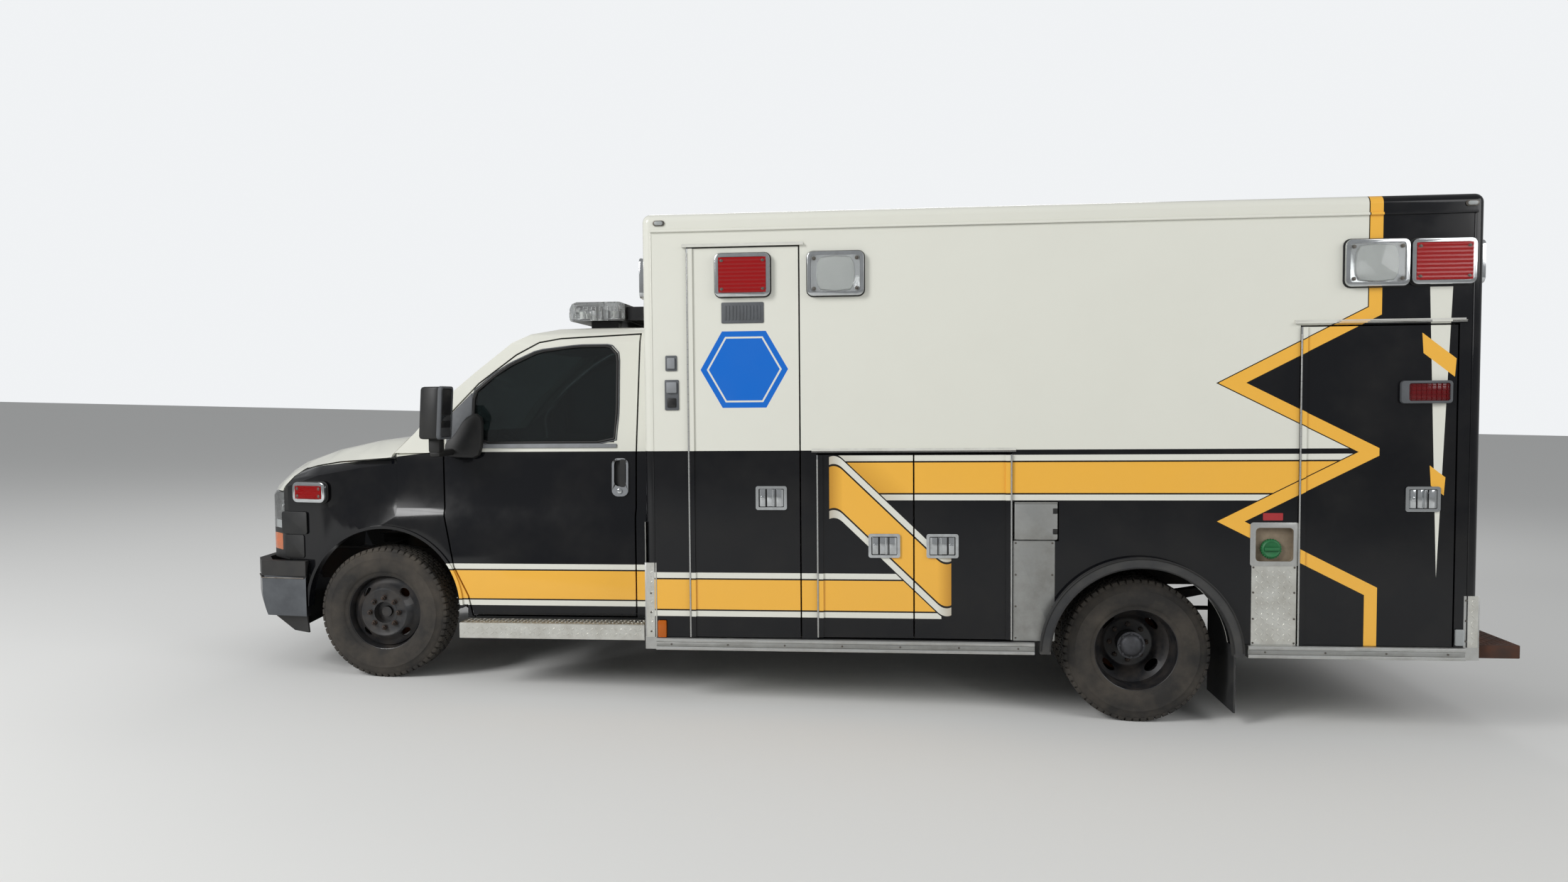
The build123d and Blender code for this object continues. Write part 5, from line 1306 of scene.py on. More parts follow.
class AMBULANCE_OT_plates(bpy.types.Operator):
    """Make the tread plate, rub rails, guards, filler, vent, outlets and the flares' lips"""
    bl_idname = "ambulance.plates"
    bl_label = "Plates and Rails"

    def execute(self, context):
        fit([tread_sheet(*row) for row in PLATE_SHEETS], "tread_sheets", "root", "tread_plate", "Tread plate")
        # Rub rails: an extrusion with two lips, and an insert held by screws
        rails, inserts, points = [], [], []
        for side in (-1, 1):
            for front, rear in ((1.597, 3.522), (4.552, 5.562)):
                rails.append(wall_rail(RUB_SECTION, side, 0, front, rear))
                inserts.append(block((front + 0.002, rear - 0.002), skin(side, 0.0222, 0.0245),
                                     (0.259, 0.279), 0.0008))
                count = int((rear - front) / 0.3)
                points += [(front + 0.08 + i * (rear - front - 0.16) / count, off_side(side, 0.024), 0.269)
                           for i in range(count + 1)]
        fit(rails, "rub_rail_lips", "root", "plain_aluminium", "Aluminium extrusion")
        fit(inserts, "rub_rail_inserts", "root", "plain_aluminium", "Brushed plate")
        screws = [screw_row([p for p in points if p[1] * side > 0], (0, side, 0)) for side in (-1, 1)]
        fit(screws, "rub_rail_screws", "root", "plain_aluminium", "Dull steel")

        # Corner guards and the brushed plate ahead of the rear wheel, each with its screws
        guards = []
        for side in (-1, 1):
            guards.append(block((1.537, 1.599), skin(side, 0.0, 0.0016), (0.253, 0.689), 0.0006))
            guards.append(block((5.56, 5.633), skin(side, 0.0, 0.0016), (0.237, 0.551), 0.0006))
        fit(guards, "corner_guards", "root", "plain_aluminium", "Aluminium extrusion")
        shield = slab("Y", (3.418, 3.623), (0.305, 0.812), 0.006, -SIDE, -SIDE - 0.003, 0.001)
        fit(shield, "wheel_shield", "root", "plain_aluminium", "Brushed plate")
        points = [(x, -SIDE - 0.003, z) for x in (3.43, 3.611) for z in (0.32, 0.48, 0.64, 0.8)]
        points += [(x, -SIDE - 0.003, z) for x in (4.579, 4.773) for z in (0.31, 0.43, 0.56, 0.684)]
        points += [(x, -SIDE - 0.0035, z) for x in (1.568, 5.57) for z in (0.33, 0.43, 0.53)]
        fit(screw_row(points, (0, -1, 0)), "plate_screws", "root", "plain_aluminium", "Dull steel")

        # Service flap: folded sheet over the CAD's, with two rubber tabs
        cover = slab("Y", (3.4235, 3.6345), (0.8165, 0.9985), 0.01, -SIDE, -SIDE - 0.0125, 0.003)
        tabs = joined(block((3.612, 3.6335), (-SIDE - 0.0145, -SIDE - 0.011), (0.845, 0.872), 0.001),
                      block((3.612, 3.6335), (-SIDE - 0.0145, -SIDE - 0.011), (0.948, 0.975), 0.001))
        dressed("service_flap", "service_flap", "plain_aluminium", ("Brushed plate",), lambda at: 0)
        fit(cover, "service_flap_cover", "service_flap", "plain_aluminium", "Brushed plate")
        fit(tabs, "service_flap_tabs", "service_flap", "flare_rubber", "Black rubber")

        # Fuel filler: round-cornered frame, cup, cap with grips and blank label
        surround = cut(slab("Y", (4.562, 4.792), (0.69, 0.906), 0.014, -SIDE, -SIDE - 0.004, 0.0012),
                       slab("Y", (4.588, 4.766), (0.714, 0.88), 0.018, -SIDE + 0.01, -SIDE - 0.02))
        fit(surround, "filler_frame", "root", "plain_aluminium", "Aluminium extrusion")
        cup = cut(slab("Y", (4.5825, 4.7755), (0.7065, 0.8855), 0.002, -SIDE + 0.0005, -SIDE + 0.0295),
                  prism("Y", rounded((4.588, 4.77), (0.712, 0.88), 0.03, 6), -SIDE - 0.02, -SIDE + 0.026))
        fit(cup, "filler_cup", "root", "chassis_black", "Filler beige")
        cap = turned([(-SIDE + 0.029, 0.001), (-SIDE + 0.029, 0.047), (-SIDE + 0.01, 0.047),
                      (-SIDE + 0.004, 0.044), (-SIDE + 0.001, 0.038), (-SIDE + 0.004, 0.034),
                      (-SIDE + 0.006, 0.001)], 4.666, 0.774, 40)
        grips = ringed(rod((4.666 + 0.047, -SIDE + 0.026, 0.774), (4.666 + 0.047, -SIDE + 0.006, 0.774),
                           0.0028, 8), 4.666, 0.774, 24)
        handle = block((4.63, 4.702), (-SIDE - 0.007, -SIDE + 0.006), (0.766, 0.782), 0.004)
        fit([cap, grips, handle], "filler_cap", "root", "chassis_black", "Green cap")
        fit(slab("Y", (4.622, 4.716), (0.916, 0.952), 0.004, -SIDE, -SIDE - 0.001), "filler_label", "root",
            "lamp_lens", "Red label")

        # Vent on the first lid, with pressed louvres, and the outlets ahead of it
        vent = joined(slab("Y", (1.953, 2.17), (1.918, 2.024), 0.006, -SIDE, -SIDE - 0.004, 0.001),
                      *[block((1.97 + 0.0175 * i, 1.979 + 0.0175 * i), (-SIDE - 0.0065, -SIDE - 0.003),
                              (1.934, 2.008), 0.002) for i in range(11)])
        fit(vent, "first_lid_vent", "front_lid_left", "plain_aluminium", "Grey trim")
        boxes, covers, lids = [], [], []
        for x0, x1, z0, z1 in ((1.66, 1.72, 1.679, 1.758), (1.655, 1.728, 1.478, 1.634)):
            boxes.append(slab("Y", (x0, x1), (z0, z1), 0.006, -SIDE, -SIDE - 0.006, 0.0015))
            covers.append(slab("Y", (x0 + 0.01, x1 - 0.01), (z1 - 0.068, z1 - 0.012), 0.005, -SIDE - 0.005,
                               -SIDE - 0.016, 0.003))
        lids.append(slab("Y", (1.668, 1.715), (1.492, 1.54), 0.006, -SIDE - 0.005, -SIDE - 0.011, 0.002))
        fit(boxes, "outlet_plates", "root", "plain_aluminium", "Grey trim")
        fit(covers, "outlet_covers", "root", "plain_aluminium", "Light grey trim")
        fit(lids, "outlet_socket", "root", "plain_aluminium", "Satin black")

        # Rolled outer edge on each rear wheel flare, and the flaps' clamp bars
        rolls, clamps = [], []
        for side in (-1, 1):
            for radius, thick in ((0.4895, 0.0055), (0.4435, 0.004)):
                arc = []
                for step in range(49):
                    angle = math.radians(-1 + 182 * step / 48)
                    arc.append((WHEELBASE + radius * math.cos(angle), side * (SIDE + 0.0445),
                                REAR_HUB - 0.007 + radius * math.sin(angle)))
                rolls.append(wire([p for p in arc if p[2] > REAR_HUB], thick, 8))
            clamps.append(block((4.505, 4.51), span(side, 0.7, 1.15), (0.53, 0.56), 0.001))
        fit(rolls, "flare_rolls", "root", "flare_rubber", "Black rubber")
        fit(clamps, "flap_clamps", "root", "plain_aluminium", "Dull steel")
        return {"FINISHED"}


# The grille's half width, bottom and top, and the heights of the bumper's band
GRILLE = (0.47, 0.7, 0.965)
PAD_BOTTOM = 0.565
BAND_BOTTOM = 0.344
# The strip between a headlamp's lenses, seen from above: X, distance from the middle
LAMP_STRIP = ((-0.7735, 0.605), (-0.761, 0.7), (-0.746, 0.75), (-0.721, 0.8), (-0.675, 0.85), (-0.621, 0.898),
              (-0.617, 0.897), (-0.67, 0.845), (-0.716, 0.796), (-0.742, 0.745), (-0.757, 0.696),
              (-0.769, 0.602))
# Bowls behind the lenses: distance from the middle, height, radius
LAMP_BOWLS = ((0.68, 0.94, 0.085), (0.815, 0.94, 0.07), (0.69, 0.75, 0.036), (0.81, 0.75, 0.034))


def nose_part(at):
    """Black surround, grey bars and dark field of the grille, or the white band above the lamps."""
    if at.z > NOSE_BAND_FOOT:
        return 1
    if abs(at.y) < GRILLE[0] + 0.02 and GRILLE[1] - 0.008 < at.z < GRILLE[2] + 0.008 and at.x < -0.735:
        return 2
    return 0


def bumper_part(at):
    """Black pad, dark bright band, or black air dam."""
    return 1 if BAND_BOTTOM < at.z < PAD_BOTTOM else 0


def bumper_shape(at):
    """The bumper's face: it leans back below its middle, and the air dam slants under it."""
    low = max(0.0, 0.47 - at.z)
    ahead = min(1.0, max(0.0, (-0.42 - at.x) / 0.4))
    dam = max(0.0, BAND_BOTTOM - at.z)
    return Vector((at.x + ahead * (2.2 * low * low + 1.1 * dam), at.y * (1 - 0.1 * low * ahead), at.z))


def lamp_part(at):
    """Upper lamp with its smoked cover, or the amber lens under it."""
    return 1 if at.z < 0.8 else 0


def bar_part(at):
    """The light bar's clear modules, its dark housing and feet."""
    return 0 if at.z > 1.995 and at.x < 1.299 else 1


class AMBULANCE_OT_nose(bpy.types.Operator):
    """Dress the nose: grille, headlamps, bumper, fender lights, wipers and the light bar"""
    bl_idname = "ambulance.nose"
    bl_label = "Nose"

    def execute(self, context):
        dressed("nose", "root", "nose_plastic", ("Black moulding", CAB_PAINT, "Grey trim"), nose_part)
        dressed("front_bumper", "root", "bumper_plastic", ("Bumper black", "Bumper dark chrome"), bumper_part,
                (0.52, 0.47, 0.43, 0.39, 0.36), bumper_shape)
        dressed("headlamps", "root", "lamp_lens", ("Smoked lens", "Amber lens"), lamp_part)
        dressed("light_bar", "root", "lamp_lens", ("Clear lens", "Lamp black"), bar_part)
        edge = [(-0.44, 1.0135), (-0.7, 0.987), (-0.791, 0.852), (-0.829, 0.502), (-0.839, 0.0)]
        line = [(x, -y, 0.5575) for x, y in edge] + [(x, y, 0.5575) for x, y in reversed(edge[:-1])]
        fit(wire(line, 0.0035, 8), "bumper_edge", "root", "bumper_plastic", "Dull steel")
        # Behind each lens: a bright bowl with its bulb, and the strip between the lenses
        bowls, bulbs, strips = [], [], []
        for side in (-1, 1):
            for y, z, radius in LAMP_BOWLS:
                x = -0.69 + (y - 0.68) * 0.55
                bowls.append(rod((x + 0.04, side * y, z), (x - 0.004, side * y, z), radius, 32, 0.004))
                bulbs.append(rod((x - 0.02, side * y, z), (x + 0.03, side * y, z), 0.01, 12, 0.003))
            strips.append(prism("Z", [(x, side * y) for x, y in LAMP_STRIP], 0.828, 0.872))
        fit(bowls, "headlamp_bowls", "root", "lamp_lens", "Reflector")
        fit(bulbs, "headlamp_bulbs", "root", "lamp_lens", "White bulb")
        fit(strips, "headlamp_strips", "root", "lamp_lens", "Frosted lens")
        # Matt corner panels between the lamps and the wheel arches
        corners = []
        for side in (-1, 1):
            for x0, x1, z0, z1, out in ((-0.6, -0.43, 0.8, 0.926, 0.012),
                                        (-0.585, -0.455, 0.665, 0.796, 0.006)):
                piece = slab("Y", (x0, x1), (z0, z1), 0.014, 0.0, out, 0.003)
                for vertex in piece.data.vertices:
                    inset = 0.952 + (vertex.co.x + 0.51) * 0.242
                    vertex.co.y = side * (min(inset, 0.975) + vertex.co.y)
                if side < 0:
                    piece.data.flip_normals()
                corners.append(piece)
        fit(corners, "lamp_corner_panels", "root", "nose_plastic", "Black moulding")
        # Light bar's inner lamps: rows of small mirrors and bulbs in each module
        cells, rotators = [], []
        for y in (-0.51, -0.315, -0.105, 0.105, 0.315, 0.51):
            half = 0.08 if abs(y) < 0.5 else 0.07
            cells.append(block((1.13, 1.134), (y - half, y + half), (2.006, 2.072), 0.002))
            for x in (1.04, 1.225):
                rotators.append(rod((x, y, 2.0), (x, y, 2.045), 0.014, 12, 0.004))
                cells.append(rod((x, y, 1.998), (x, y, 2.004), 0.045, 20, 0.002))
        fit(cells, "light_bar_mirrors", "root", "lamp_lens", "Reflector")
        fit(rotators, "light_bar_bulbs", "root", "lamp_lens", "White bulb")
        ribs = []
        for side in (-1, 1):
            for x in stretched(1.135, 0.13, 11):
                ribs.append(block((x - 0.003, x + 0.003), span(side, 0.5985, 0.6015), (2.012, 2.068), 0.001))
        for y in stretched(0, 0.56, 44):
            ribs.append(block((0.9655, 0.9745), (y - 0.003, y + 0.003), (2.012, 2.056), 0.001))
        fit(ribs, "light_bar_ribs", "root", "lamp_lens", "Clear lens")
        # Red lamp on each fender, on a bezel that follows the panel's lean
        fixed = []
        for side in (-1, 1):
            parts = lamp_parts(0.219, 0.113, "warning")
            for piece, _ in parts:
                piece.data.transform(Matrix.Rotation(math.radians(13.6 * side), 4, "Z"))
            set_lamp(parts, (-0.398, side * 0.977, 1.037), 0 if side < 0 else math.pi)
            fixed.append(parts)
        fit_lamps("fender_lights", fixed, "root", "lamp_lens")
        # Wipers
        arms = []
        for pivot, ends in ((-0.6, (-0.68, -0.06)), (0.08, (0.01, 0.62))):
            blade = []
            for share in (0.0, 0.25, 0.5, 0.75, 1.0):
                y = ends[0] + share * (ends[1] - ends[0])
                z = 1.378 + 0.03 * share
                blade.append((0.104 + 0.06 * abs(y) + 0.867 * (z - 1.36) - 0.008, y, z + 0.006))
            arms.append(wire(blade, 0.0055, 8))
            middle = blade[2]
            arms.append(wire([(0.085 + 0.06 * abs(pivot), pivot, 1.352),
                              (middle[0] - 0.022, (pivot + middle[1]) / 2, middle[2] + 0.004),
                              (middle[0] - 0.01, middle[1], middle[2] + 0.008)], 0.0075, 8))
            arms.append(rod((0.095 + 0.06 * abs(pivot), pivot, 1.335),
                            (0.08 + 0.06 * abs(pivot), pivot, 1.362), 0.016, 16, 0.003))
        fit(arms, "wipers", "root", "mirror_plastic", "Satin black")
        return {"FINISHED"}


# CAD nodes that keep their own form and take one finish
PLAIN_NODES = (
    ("chassis_frame", "Chassis black"), ("front_axle", "Chassis black"), ("rear_axle", "Chassis black"),
    ("knuckle_left", "Wheel black"), ("knuckle_right", "Wheel black"), ("tie_rod", "Dull steel"),
    ("engine", "Engine iron"), ("exhaust", "Exhaust steel"), ("fuel_tank", "Satin black"),
    ("cab_floor", "Black moulding"), ("dashboard", "Cab grey plastic"), ("steering_wheel", "Satin black"),
    ("cab_seats", "Seat cloth"), ("module_floor", "Safety floor"), ("left_cabinets", "Cabinet laminate"),
    ("right_cabinets", "Cabinet laminate"), ("rub_rails", "Aluminium extrusion"),
    ("running_boards", "Tread plate"), ("wheel_flares", "Flare rubber"), ("rear_step", "Step rust"),
    ("windscreen", "Windscreen glass"),
)
REAR_DOOR = (0.004, 0.78, 0.42, 2.23)
REAR_PANE = (0.19, 0.64, 1.42, 2.02)


def rear_door_part(at):
    """A rear door's faces: paint, hinge steel, inner lining, or glass."""
    near, far, low, high = REAR_PANE
    depth = MODULE_REAR - at.x
    in_pane = near - 0.001 < abs(at.y) < far + 0.001 and low - 0.001 < at.z < high + 0.001
    if in_pane and 0.0175 < depth < 0.0245:
        return 3
    if depth < -0.0005:
        return 1
    return 2 if depth > 0.035 else 0


class AMBULANCE_OT_rear(bpy.types.Operator):
    """Dress the rear doors with seals, handles, hinges and grab rails, and the rear step"""
    bl_idname = "ambulance.rear"
    bl_label = "Rear"

    def execute(self, context):
        near, far, low, high = REAR_DOOR
        face = MODULE_REAR
        for side, name in ((-1, "rear_door_left"), (1, "rear_door_right")):
            dressed(name, name, "module_paint", (MODULE_PAINT, "Stainless", "Brushed plate", "Tinted glass"),
                    rear_door_part)
            ys = span(side, REAR_PANE[0] - 0.012, REAR_PANE[1] + 0.012)
            hole = span(side, REAR_PANE[0] + 0.01, REAR_PANE[1] - 0.01)
            heights = (REAR_PANE[2] - 0.012, REAR_PANE[3] + 0.012)
            seal = slab("X", ys, heights, 0.03, face - 0.001, face + 0.006, 0.002)
            heights = (REAR_PANE[2] + 0.01, REAR_PANE[3] - 0.01)
            cut(seal, slab("X", hole, heights, 0.02, face - 0.02, face + 0.02))
            fit(seal, f"{name}_window_seal", name, "flare_rubber", "Black rubber")
            lining = slab("X", span(side, near + 0.03, far - 0.03), (low + 0.04, 1.36), 0.02,
                          face - 0.048, face - 0.041, 0.002)
            fit(lining, f"{name}_lining", name, "plain_aluminium", "Brushed plate")
            # Handle: dished plate with a paddle, and a grab rail near the hinges
            y = side * 0.115
            plate = slab("X", (y - 0.075, y + 0.075), (1.06, 1.185), 0.014, face, face + 0.006, 0.002)
            paddle = slab("X", (y - 0.056, y + 0.056), (1.082, 1.128), 0.01, face + 0.005, face + 0.02, 0.004)
            lock = rod((face + 0.004, y + 0.045, 1.155), (face + 0.011, y + 0.045, 1.155), 0.011, 16, 0.002)
            fit([plate, paddle, lock], f"{name}_handle", name, "plain_aluminium", "Chrome")
            rail_y = side * 0.715
            rail = joined(wire([(face, rail_y, 1.43), (face + 0.055, rail_y, 1.45),
                                (face + 0.055, rail_y, 2.0), (face, rail_y, 2.02)], 0.014, 12),
                          rod((face, rail_y, 1.43), (face + 0.005, rail_y, 1.43), 0.032, 20, 0.001),
                          rod((face, rail_y, 2.02), (face + 0.005, rail_y, 2.02), 0.032, 20, 0.001))
            fit(rail, f"{name}_grab_rail", name, "plain_aluminium", "Stainless")
            # Piano hinge knuckles
            x, y = face + 0.009, side * (far + 0.004)
            pitch = 0.047
            knuckle = rod((x, y, low), (x, y, low + 0.0445), 0.0055, 12)
            knuckles = repeated(knuckle, int((high - low) / pitch), (0, 0, pitch))
            fit(knuckles, f"{name}_hinge", name, "plain_aluminium", "Stainless")
        strip = []
        for a, b in ((-far - 0.016, -far - 0.006), (far + 0.006, far + 0.016)):
            strip.append(block((face - 0.003, face + 0.004), (a, b), (low - 0.01, high + 0.01), 0.001))
        strip.append(block((face - 0.003, face + 0.02), (-far - 0.05, far + 0.05),
                           (high + 0.018, high + 0.026), 0.001))
        fit(strip, "rear_door_rails", "root", "plain_aluminium", "White rail")
        # Rear bumper: diamond plate top on the step and its edge
        sheet = tread_sheet("Z", 0.3005, (5.64, 5.836), (-1.17, 1.17), 1)
        fit(sheet, "rear_step_tread", "root", "step_paint", "Step rust")
        edge = joined(block((5.834, 5.8445), (-1.176, 1.176), (0.24, 0.303), 0.002),
                      *[block((5.63, 5.84), span(s, 1.1745, 1.1785), (0.24, 0.303), 0.001) for s in (-1, 1)])
        fit(edge, "rear_step_edge", "root", "step_paint", "Step rust")
        return {"FINISHED"}


def cushion(outline, start, end, edge=0.03):
    """A soft block: an outline seen from the side, carried across and well rounded."""
    return prism("Y", outline, start, end, edge)


STEERING_CENTRE = Vector((0.64, -0.52, 1.19))
STEERING_AXIS = Vector((0.88, 0, 0.475)).normalized()


def on_steering(u, v, w):
    """A point in the steering wheel's plane: across, up, and along its column."""
    across = Vector((0, 1, 0))
    up = STEERING_AXIS.cross(across)
    return tuple(STEERING_CENTRE + u * across - v * up + w * STEERING_AXIS)


class AMBULANCE_OT_interior(bpy.types.Operator):
    """Furnish the cab and the patient space, and finish the underside"""
    bl_idname = "ambulance.interior"
    bl_label = "Interior and Underside"

    def execute(self, context):
        for name, finish in PLAIN_NODES:
            coated(name, finish)
        # Seats: cushion, bolsters, back, head rest, arm rest, seams and belts
        cushions, welts, belts = [], [], []
        for y in (-0.52, 0.52):
            base = [(0.895, 0.815), (0.9, 0.965), (0.96, 1.008), (1.345, 0.985), (1.385, 0.815)]
            back = [(1.268, 0.985), (1.325, 1.49), (1.405, 1.512), (1.432, 1.47), (1.43, 0.95)]
            rest = [(1.335, 1.515), (1.348, 1.655), (1.42, 1.668), (1.428, 1.51)]
            cushions += [cushion(base, y - 0.255, y + 0.255), cushion(back, y - 0.245, y + 0.245),
                         cushion(rest, y - 0.135, y + 0.135, 0.025)]
            for side in (-1, 1):
                wing = [(0.905, 0.96), (0.96, 1.034), (1.33, 1.01), (1.34, 0.95)]
                cushions.append(cushion(wing, *sorted((y + side * 0.18, y + side * 0.256)), 0.022))
                wing = [(1.25, 1.01), (1.3, 1.43), (1.35, 1.43), (1.35, 1.01)]
                cushions.append(cushion(wing, *sorted((y + side * 0.17, y + side * 0.246)), 0.02))
                if side * y < 0:
                    # An arm rest towards the middle
                    across = y + side * 0.285
                    cushions.append(block((1.08, 1.33), (across - 0.028, across + 0.028), (1.17, 1.22), 0.02))
                else:
                    cushions.append(block((1.34, 1.36), (y - 0.02, y + 0.02), (1.2, 1.24), 0.005))
                welts.append(wire([(0.912, y + side * 0.172, 1.0), (0.965, y + side * 0.172, 1.012),
                                   (1.27, y + side * 0.172, 0.993)], 0.003, 6))
            belts.append(wire([(1.395, y + 0.17 * math.copysign(1, y), 1.5), (1.33, y + 0.05, 1.3),
                               (1.262, y - 0.06, 1.06)], 0.01, 6))
        fit(cushions, "seat_cushions", "root", "seat_fabric", "Seat cloth")
        fit(welts, "seat_welts", "root", "seat_fabric", "Black rubber")
        fit(belts, "seat_belts", "root", "seat_fabric", "Black rubber")
        # Dashboard: padded top, instrument hood, dials, vents, centre stack, glove box
        pad = prism("Y", [(0.262, 1.185), (0.3, 1.268), (0.47, 1.278), (0.552, 1.206), (0.52, 1.17)], -0.875,
                    0.875, 0.02)
        hood = prism("Y", [(0.4, 1.262), (0.43, 1.322), (0.52, 1.318), (0.56, 1.262), (0.545, 1.205)], -0.7,
                     -0.34, 0.02)
        stack = prism("Y", [(0.47, 0.985), (0.54, 1.2), (0.56, 1.198), (0.545, 0.985)], -0.19, 0.19, 0.012)
        box = slab("Y", (0.52, 0.556), (1.02, 1.16), 0.012, 0.33, 0.76, 0.006)
        fit([pad, hood, stack, box], "dash_top", "root", "interior_plastic", "Cab grey plastic")
        dials, vents, screens = [], [], []
        for y in (-0.6, -0.52, -0.44):
            dials.append(rod((0.556, y, 1.245), (0.566, y, 1.25), 0.034, 28, 0.002))
        for y in (-0.8, -0.25, 0.25, 0.8):
            for step in range(5):
                vents.append(block((0.548, 0.56), (y - 0.05, y + 0.05),
                                   (1.1 + 0.016 * step, 1.108 + 0.016 * step), 0.001))
        screens.append(block((0.556, 0.564), (-0.11, 0.11), (1.06, 1.15), 0.003))
        for y in (-0.08, 0, 0.08):
            dials.append(rod((0.552, y, 1.02), (0.575, y, 1.022), 0.018, 20, 0.003))
        fit(dials, "dash_dials", "root", "interior_plastic", "Light grey trim")
        fit([*vents, *screens], "dash_vents", "root", "interior_plastic", "Satin black")
        ring = wire([on_steering(0.19 * math.cos(a), 0.19 * math.sin(a), 0.0)
                     for a in (math.tau * i / 48 for i in range(48))], 0.0165, 12, True)
        spokes = [wire([on_steering(0.03 * math.cos(a), 0.03 * math.sin(a), 0.004),
                        on_steering(0.18 * math.cos(a), 0.18 * math.sin(a), 0.0)], 0.013, 10)
                  for a in (math.radians(d) for d in (90, 210, 330))]
        hub = rod(on_steering(0, 0, -0.03), on_steering(0, 0, 0.032), 0.062, 28, 0.014)
        fit([ring, hub, *spokes], "steering_wheel_grip", "steering_wheel", "interior_plastic", "Black rubber")
        # The cab's headliner
        fit(block((0.86, 1.43), (-0.7, 0.7), (1.868, 1.874), 0.002), "cab_headliner", "root",
            "interior_plastic", "Headliner")
        # Patient space: bench cushions, cabinet doors with panes, ceiling rails and lamps
        bench = [block((3.262 + 0.478 * i, 3.732 + 0.478 * i), (0.706, 1.155), (1.198, 1.262), 0.022)
                 for i in range(3)]
        backs = [block((3.262 + 0.478 * i, 3.732 + 0.478 * i), (1.125, 1.16), (1.3, 1.72), 0.016)
                 for i in range(3)]
        fit([*bench, *backs], "bench_cushions", "root", "seat_fabric", "Bench vinyl")
        frames, panes, pulls = [], [], []
        for i in range(4):
            x0, x1 = 2.38 + 0.6 * i, 2.966 + 0.6 * i
            outline = slab("Y", (x0, x1), (1.52, 2.33), 0.012, -0.785, -0.77, 0.003)
            frames.append(cut(outline, slab("Y", (x0 + 0.035, x1 - 0.035), (1.555, 2.295), 0.012, -0.9,
                                            -0.7)))
            panes.append(block((x0 + 0.03, x1 - 0.03), (-0.782, -0.778), (1.55, 2.3), 0.0))
            pulls.append(rod((x0 + 0.06, -0.77, 1.9), (x0 + 0.06, -0.752, 1.9), 0.014, 16, 0.003))
        fit(frames, "cabinet_frames", "root", "plain_aluminium", "Aluminium extrusion")
        fit(panes, "cabinet_panes", "root", "window_glass", "Blue-grey lens")
        fit(pulls, "cabinet_pulls", "root", "plain_aluminium", "Chrome")
        rails, domes = [], []
        for y in (-0.35, 0.35):
            rails.append(wire([(1.95, y, 2.37), (5.35, y, 2.37)], 0.014, 12))
            for x in (2.0, 3.1, 4.2, 5.3):
                rails.append(rod((x, y, 2.37), (x, y, 2.425), 0.01, 10))
        for x in (2.4, 3.4, 4.4, 5.2):
            domes.append(block((x - 0.15, x + 0.15), (-0.075, 0.075), (2.402, 2.426), 0.01))
        fit(rails, "ceiling_rails", "root", "plain_aluminium", "Stainless")
        fit(domes, "ceiling_lamps", "root", "lamp_lens", "Frosted lens")
        # Underside: the leaves of the rear springs
        leaves = []
        for side in (-1, 1):
            for i in range(4):
                reach = 0.52 - 0.09 * i
                leaves.append(block((WHEELBASE - reach, WHEELBASE + reach), span(side, 0.505, 0.575),
                                    (0.352 - 0.014 * i, 0.364 - 0.014 * i), 0.002))
        fit(leaves, "spring_leaves", "root", "chassis_black", "Chassis black")
        return {"FINISHED"}


# CAD nodes in enamel
MODULE_PANELS = ("module_left_wall", "module_right_wall", "module_front_wall", "module_rear_wall",
                 "module_roof", "front_lid_left", "lower_lid_left", "middle_lid_left", "rear_lid_left",
                 "front_lid_right", "entry_door", "rear_lid_right", "rear_door_left", "rear_door_right")
CAB_PANELS = ("cab_shell", "front_fenders", "hood", "cab_door_left", "cab_door_right")


class AMBULANCE_OT_paint(bpy.types.Operator):
    """Paint the panels of the cab and the module"""
    bl_idname = "ambulance.paint"
    bl_label = "Panels and Paint"

    def execute(self, context):
        colours = context.scene.ambulance_colours
        for row in FINISHES:
            surface(*row)
        for row in LENSES:
            lens(*row)
        for panels, paint, cab in ((MODULE_PANELS, MODULE_PAINT, False), (CAB_PANELS, CAB_PAINT, True)):
            enamel(paint, colours, cab)
            for name in panels:
                coated(name, paint)
        return {"FINISHED"}


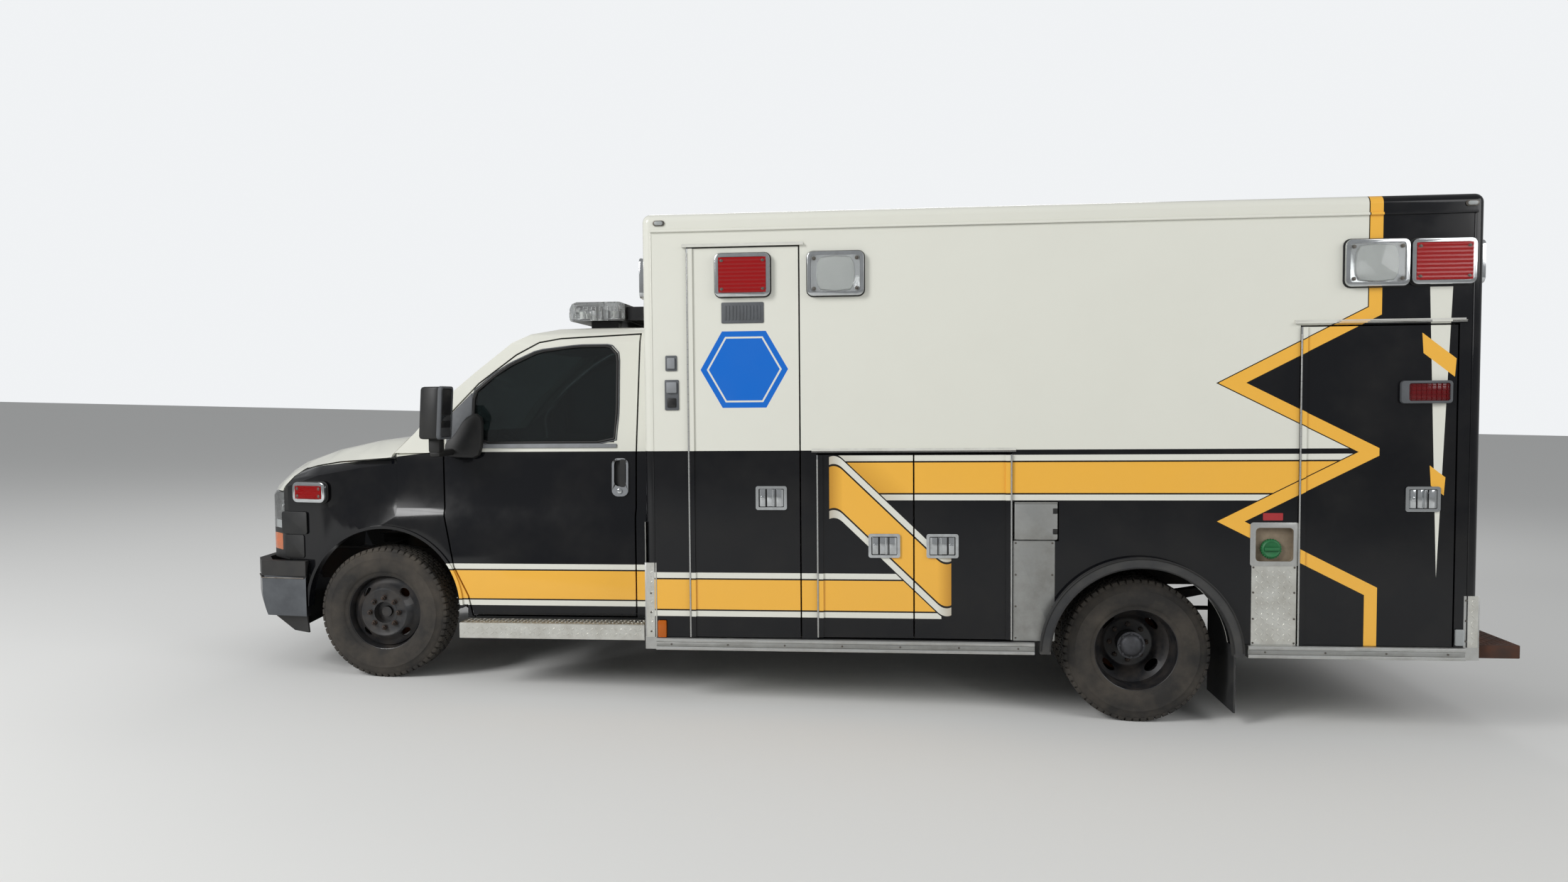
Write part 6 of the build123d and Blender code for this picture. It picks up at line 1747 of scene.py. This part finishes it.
class AMBULANCE_OT_stage(bpy.types.Operator):
    """Set the pale floor, soft studio light and the photograph's camera"""
    bl_idname = "ambulance.stage"
    bl_label = "Stage"

    def execute(self, context):
        bpy.ops.object.select_all(action="DESELECT")
        bpy.ops.mesh.primitive_plane_add(size=160, location=(0, 0, cad_box[0].z))
        floor = context.object
        floor.name = "floor"
        made, tree, shader = new_material("Pale floor")
        shader.inputs["Base Color"].default_value = linear("#E4E4E2")
        shader.inputs["Roughness"].default_value = 0.9
        floor.data.materials.append(made)

        camera = bpy.data.cameras.new("camera")
        camera.sensor_width = 36
        camera.lens = 36 * CAMERA_FOCAL / PHOTO_WIDTH
        camera.shift_x = (PHOTO_WIDTH / 2 - CAMERA_CENTRE[0]) / PHOTO_WIDTH
        camera.shift_y = (CAMERA_CENTRE[1] - PHOTO_HEIGHT / 2) / PHOTO_WIDTH
        camera.clip_end = 500
        eye = bpy.data.objects.new("camera", camera)
        context.scene.collection.objects.link(eye)
        yaw, pitch, roll = (math.radians(a) for a in CAMERA_TURN)
        ahead = Vector((math.sin(yaw) * math.cos(pitch), math.cos(yaw) * math.cos(pitch), math.sin(pitch)))
        flat = Vector((math.cos(yaw), -math.sin(yaw), 0))
        top = flat.cross(ahead)
        right = math.cos(roll) * flat + math.sin(roll) * top
        up = -math.sin(roll) * flat + math.cos(roll) * top
        turn = Matrix((right, up, -ahead)).transposed().to_4x4()
        eye.matrix_world = STANCE @ Matrix.Translation(CAMERA_PLACE) @ turn
        context.scene.camera = eye

        for name, place, size, power, aim in LAMPS:
            light = bpy.data.lights.new(name, "AREA")
            light.shape = "RECTANGLE"
            light.size, light.size_y = size
            light.energy = power
            lamp = bpy.data.objects.new(name, light)
            context.scene.collection.objects.link(lamp)
            lamp.location = place
            lamp.rotation_euler = (Vector(aim) - Vector(place)).to_track_quat("-Z", "Y").to_euler()

        world = bpy.data.worlds.new("studio")
        context.scene.world = world
        world.use_nodes = True
        tree = world.node_tree
        back = tree.nodes["Background"]
        path = add_node(tree, "ShaderNodeLightPath")
        strength = ramp(tree, path.outputs["Is Camera Ray"], 0.0, 1.0, WORLD_LIGHT, 0.95)
        tree.links.new(strength.outputs[0], back.inputs["Strength"])
        back.inputs["Color"].default_value = linear("#F6F8FA")
        context.scene.view_settings.view_transform = "Standard"
        return {"FINISHED"}


# The photograph's camera, in the body's level frame: place in metres, yaw, pitch and roll in degrees
PHOTO_WIDTH = 2208
PHOTO_HEIGHT = 1242
CAMERA_PLACE = Vector((2.79775, -6.89828, 1.51925))
CAMERA_TURN = (-5.891, -2.785, -0.497)
CAMERA_FOCAL = 1576.06
CAMERA_CENTRE = (1088.7, 641.9)
WORLD_LIGHT = 0.4
LAMPS = (
    ("key light", (-8.8, -9.3, 7.5), (4.0, 6.0), 1130, (0, 0, 1.0)),
    ("fill light", (8.0, -6.0, 5.0), (6.0, 4.0), 240, (0, 0, 1.0)),
    ("back light", (0.0, 9.0, 8.0), (8.0, 4.0), 270, (0, 0, 1.0)),
)


class AMBULANCE_PT_sidebar(bpy.types.Panel):
    bl_label = "Ambulance"
    bl_idname = "AMBULANCE_PT_sidebar"
    bl_space_type = "VIEW_3D"
    bl_region_type = "UI"
    bl_category = "Ambulance"

    def draw(self, context):
        colours = context.scene.ambulance_colours
        for name in colours.bl_rna.properties.keys():
            if name not in ("rna_type", "name"):
                self.layout.prop(colours, name)
        for operator in OPERATORS:
            self.layout.operator(operator.bl_idname)


OPERATORS = (AMBULANCE_OT_paint, AMBULANCE_OT_wheels, AMBULANCE_OT_lids, AMBULANCE_OT_lights,
             AMBULANCE_OT_cab, AMBULANCE_OT_plates, AMBULANCE_OT_nose, AMBULANCE_OT_rear,
             AMBULANCE_OT_interior, AMBULANCE_OT_stage)
CLASSES = (AmbulanceColours, *OPERATORS, AMBULANCE_PT_sidebar)


def register():
    for kept in CLASSES:
        bpy.utils.register_class(kept)
    bpy.types.Scene.ambulance_colours = bpy.props.PointerProperty(type=AmbulanceColours)


def unregister():
    del bpy.types.Scene.ambulance_colours
    for kept in reversed(CLASSES):
        bpy.utils.unregister_class(kept)


def main():
    register()
    for operator in OPERATORS:
        group, name = operator.bl_idname.split(".")
        getattr(getattr(bpy.ops, group), name)()


if __name__ == "__main__":
    main()
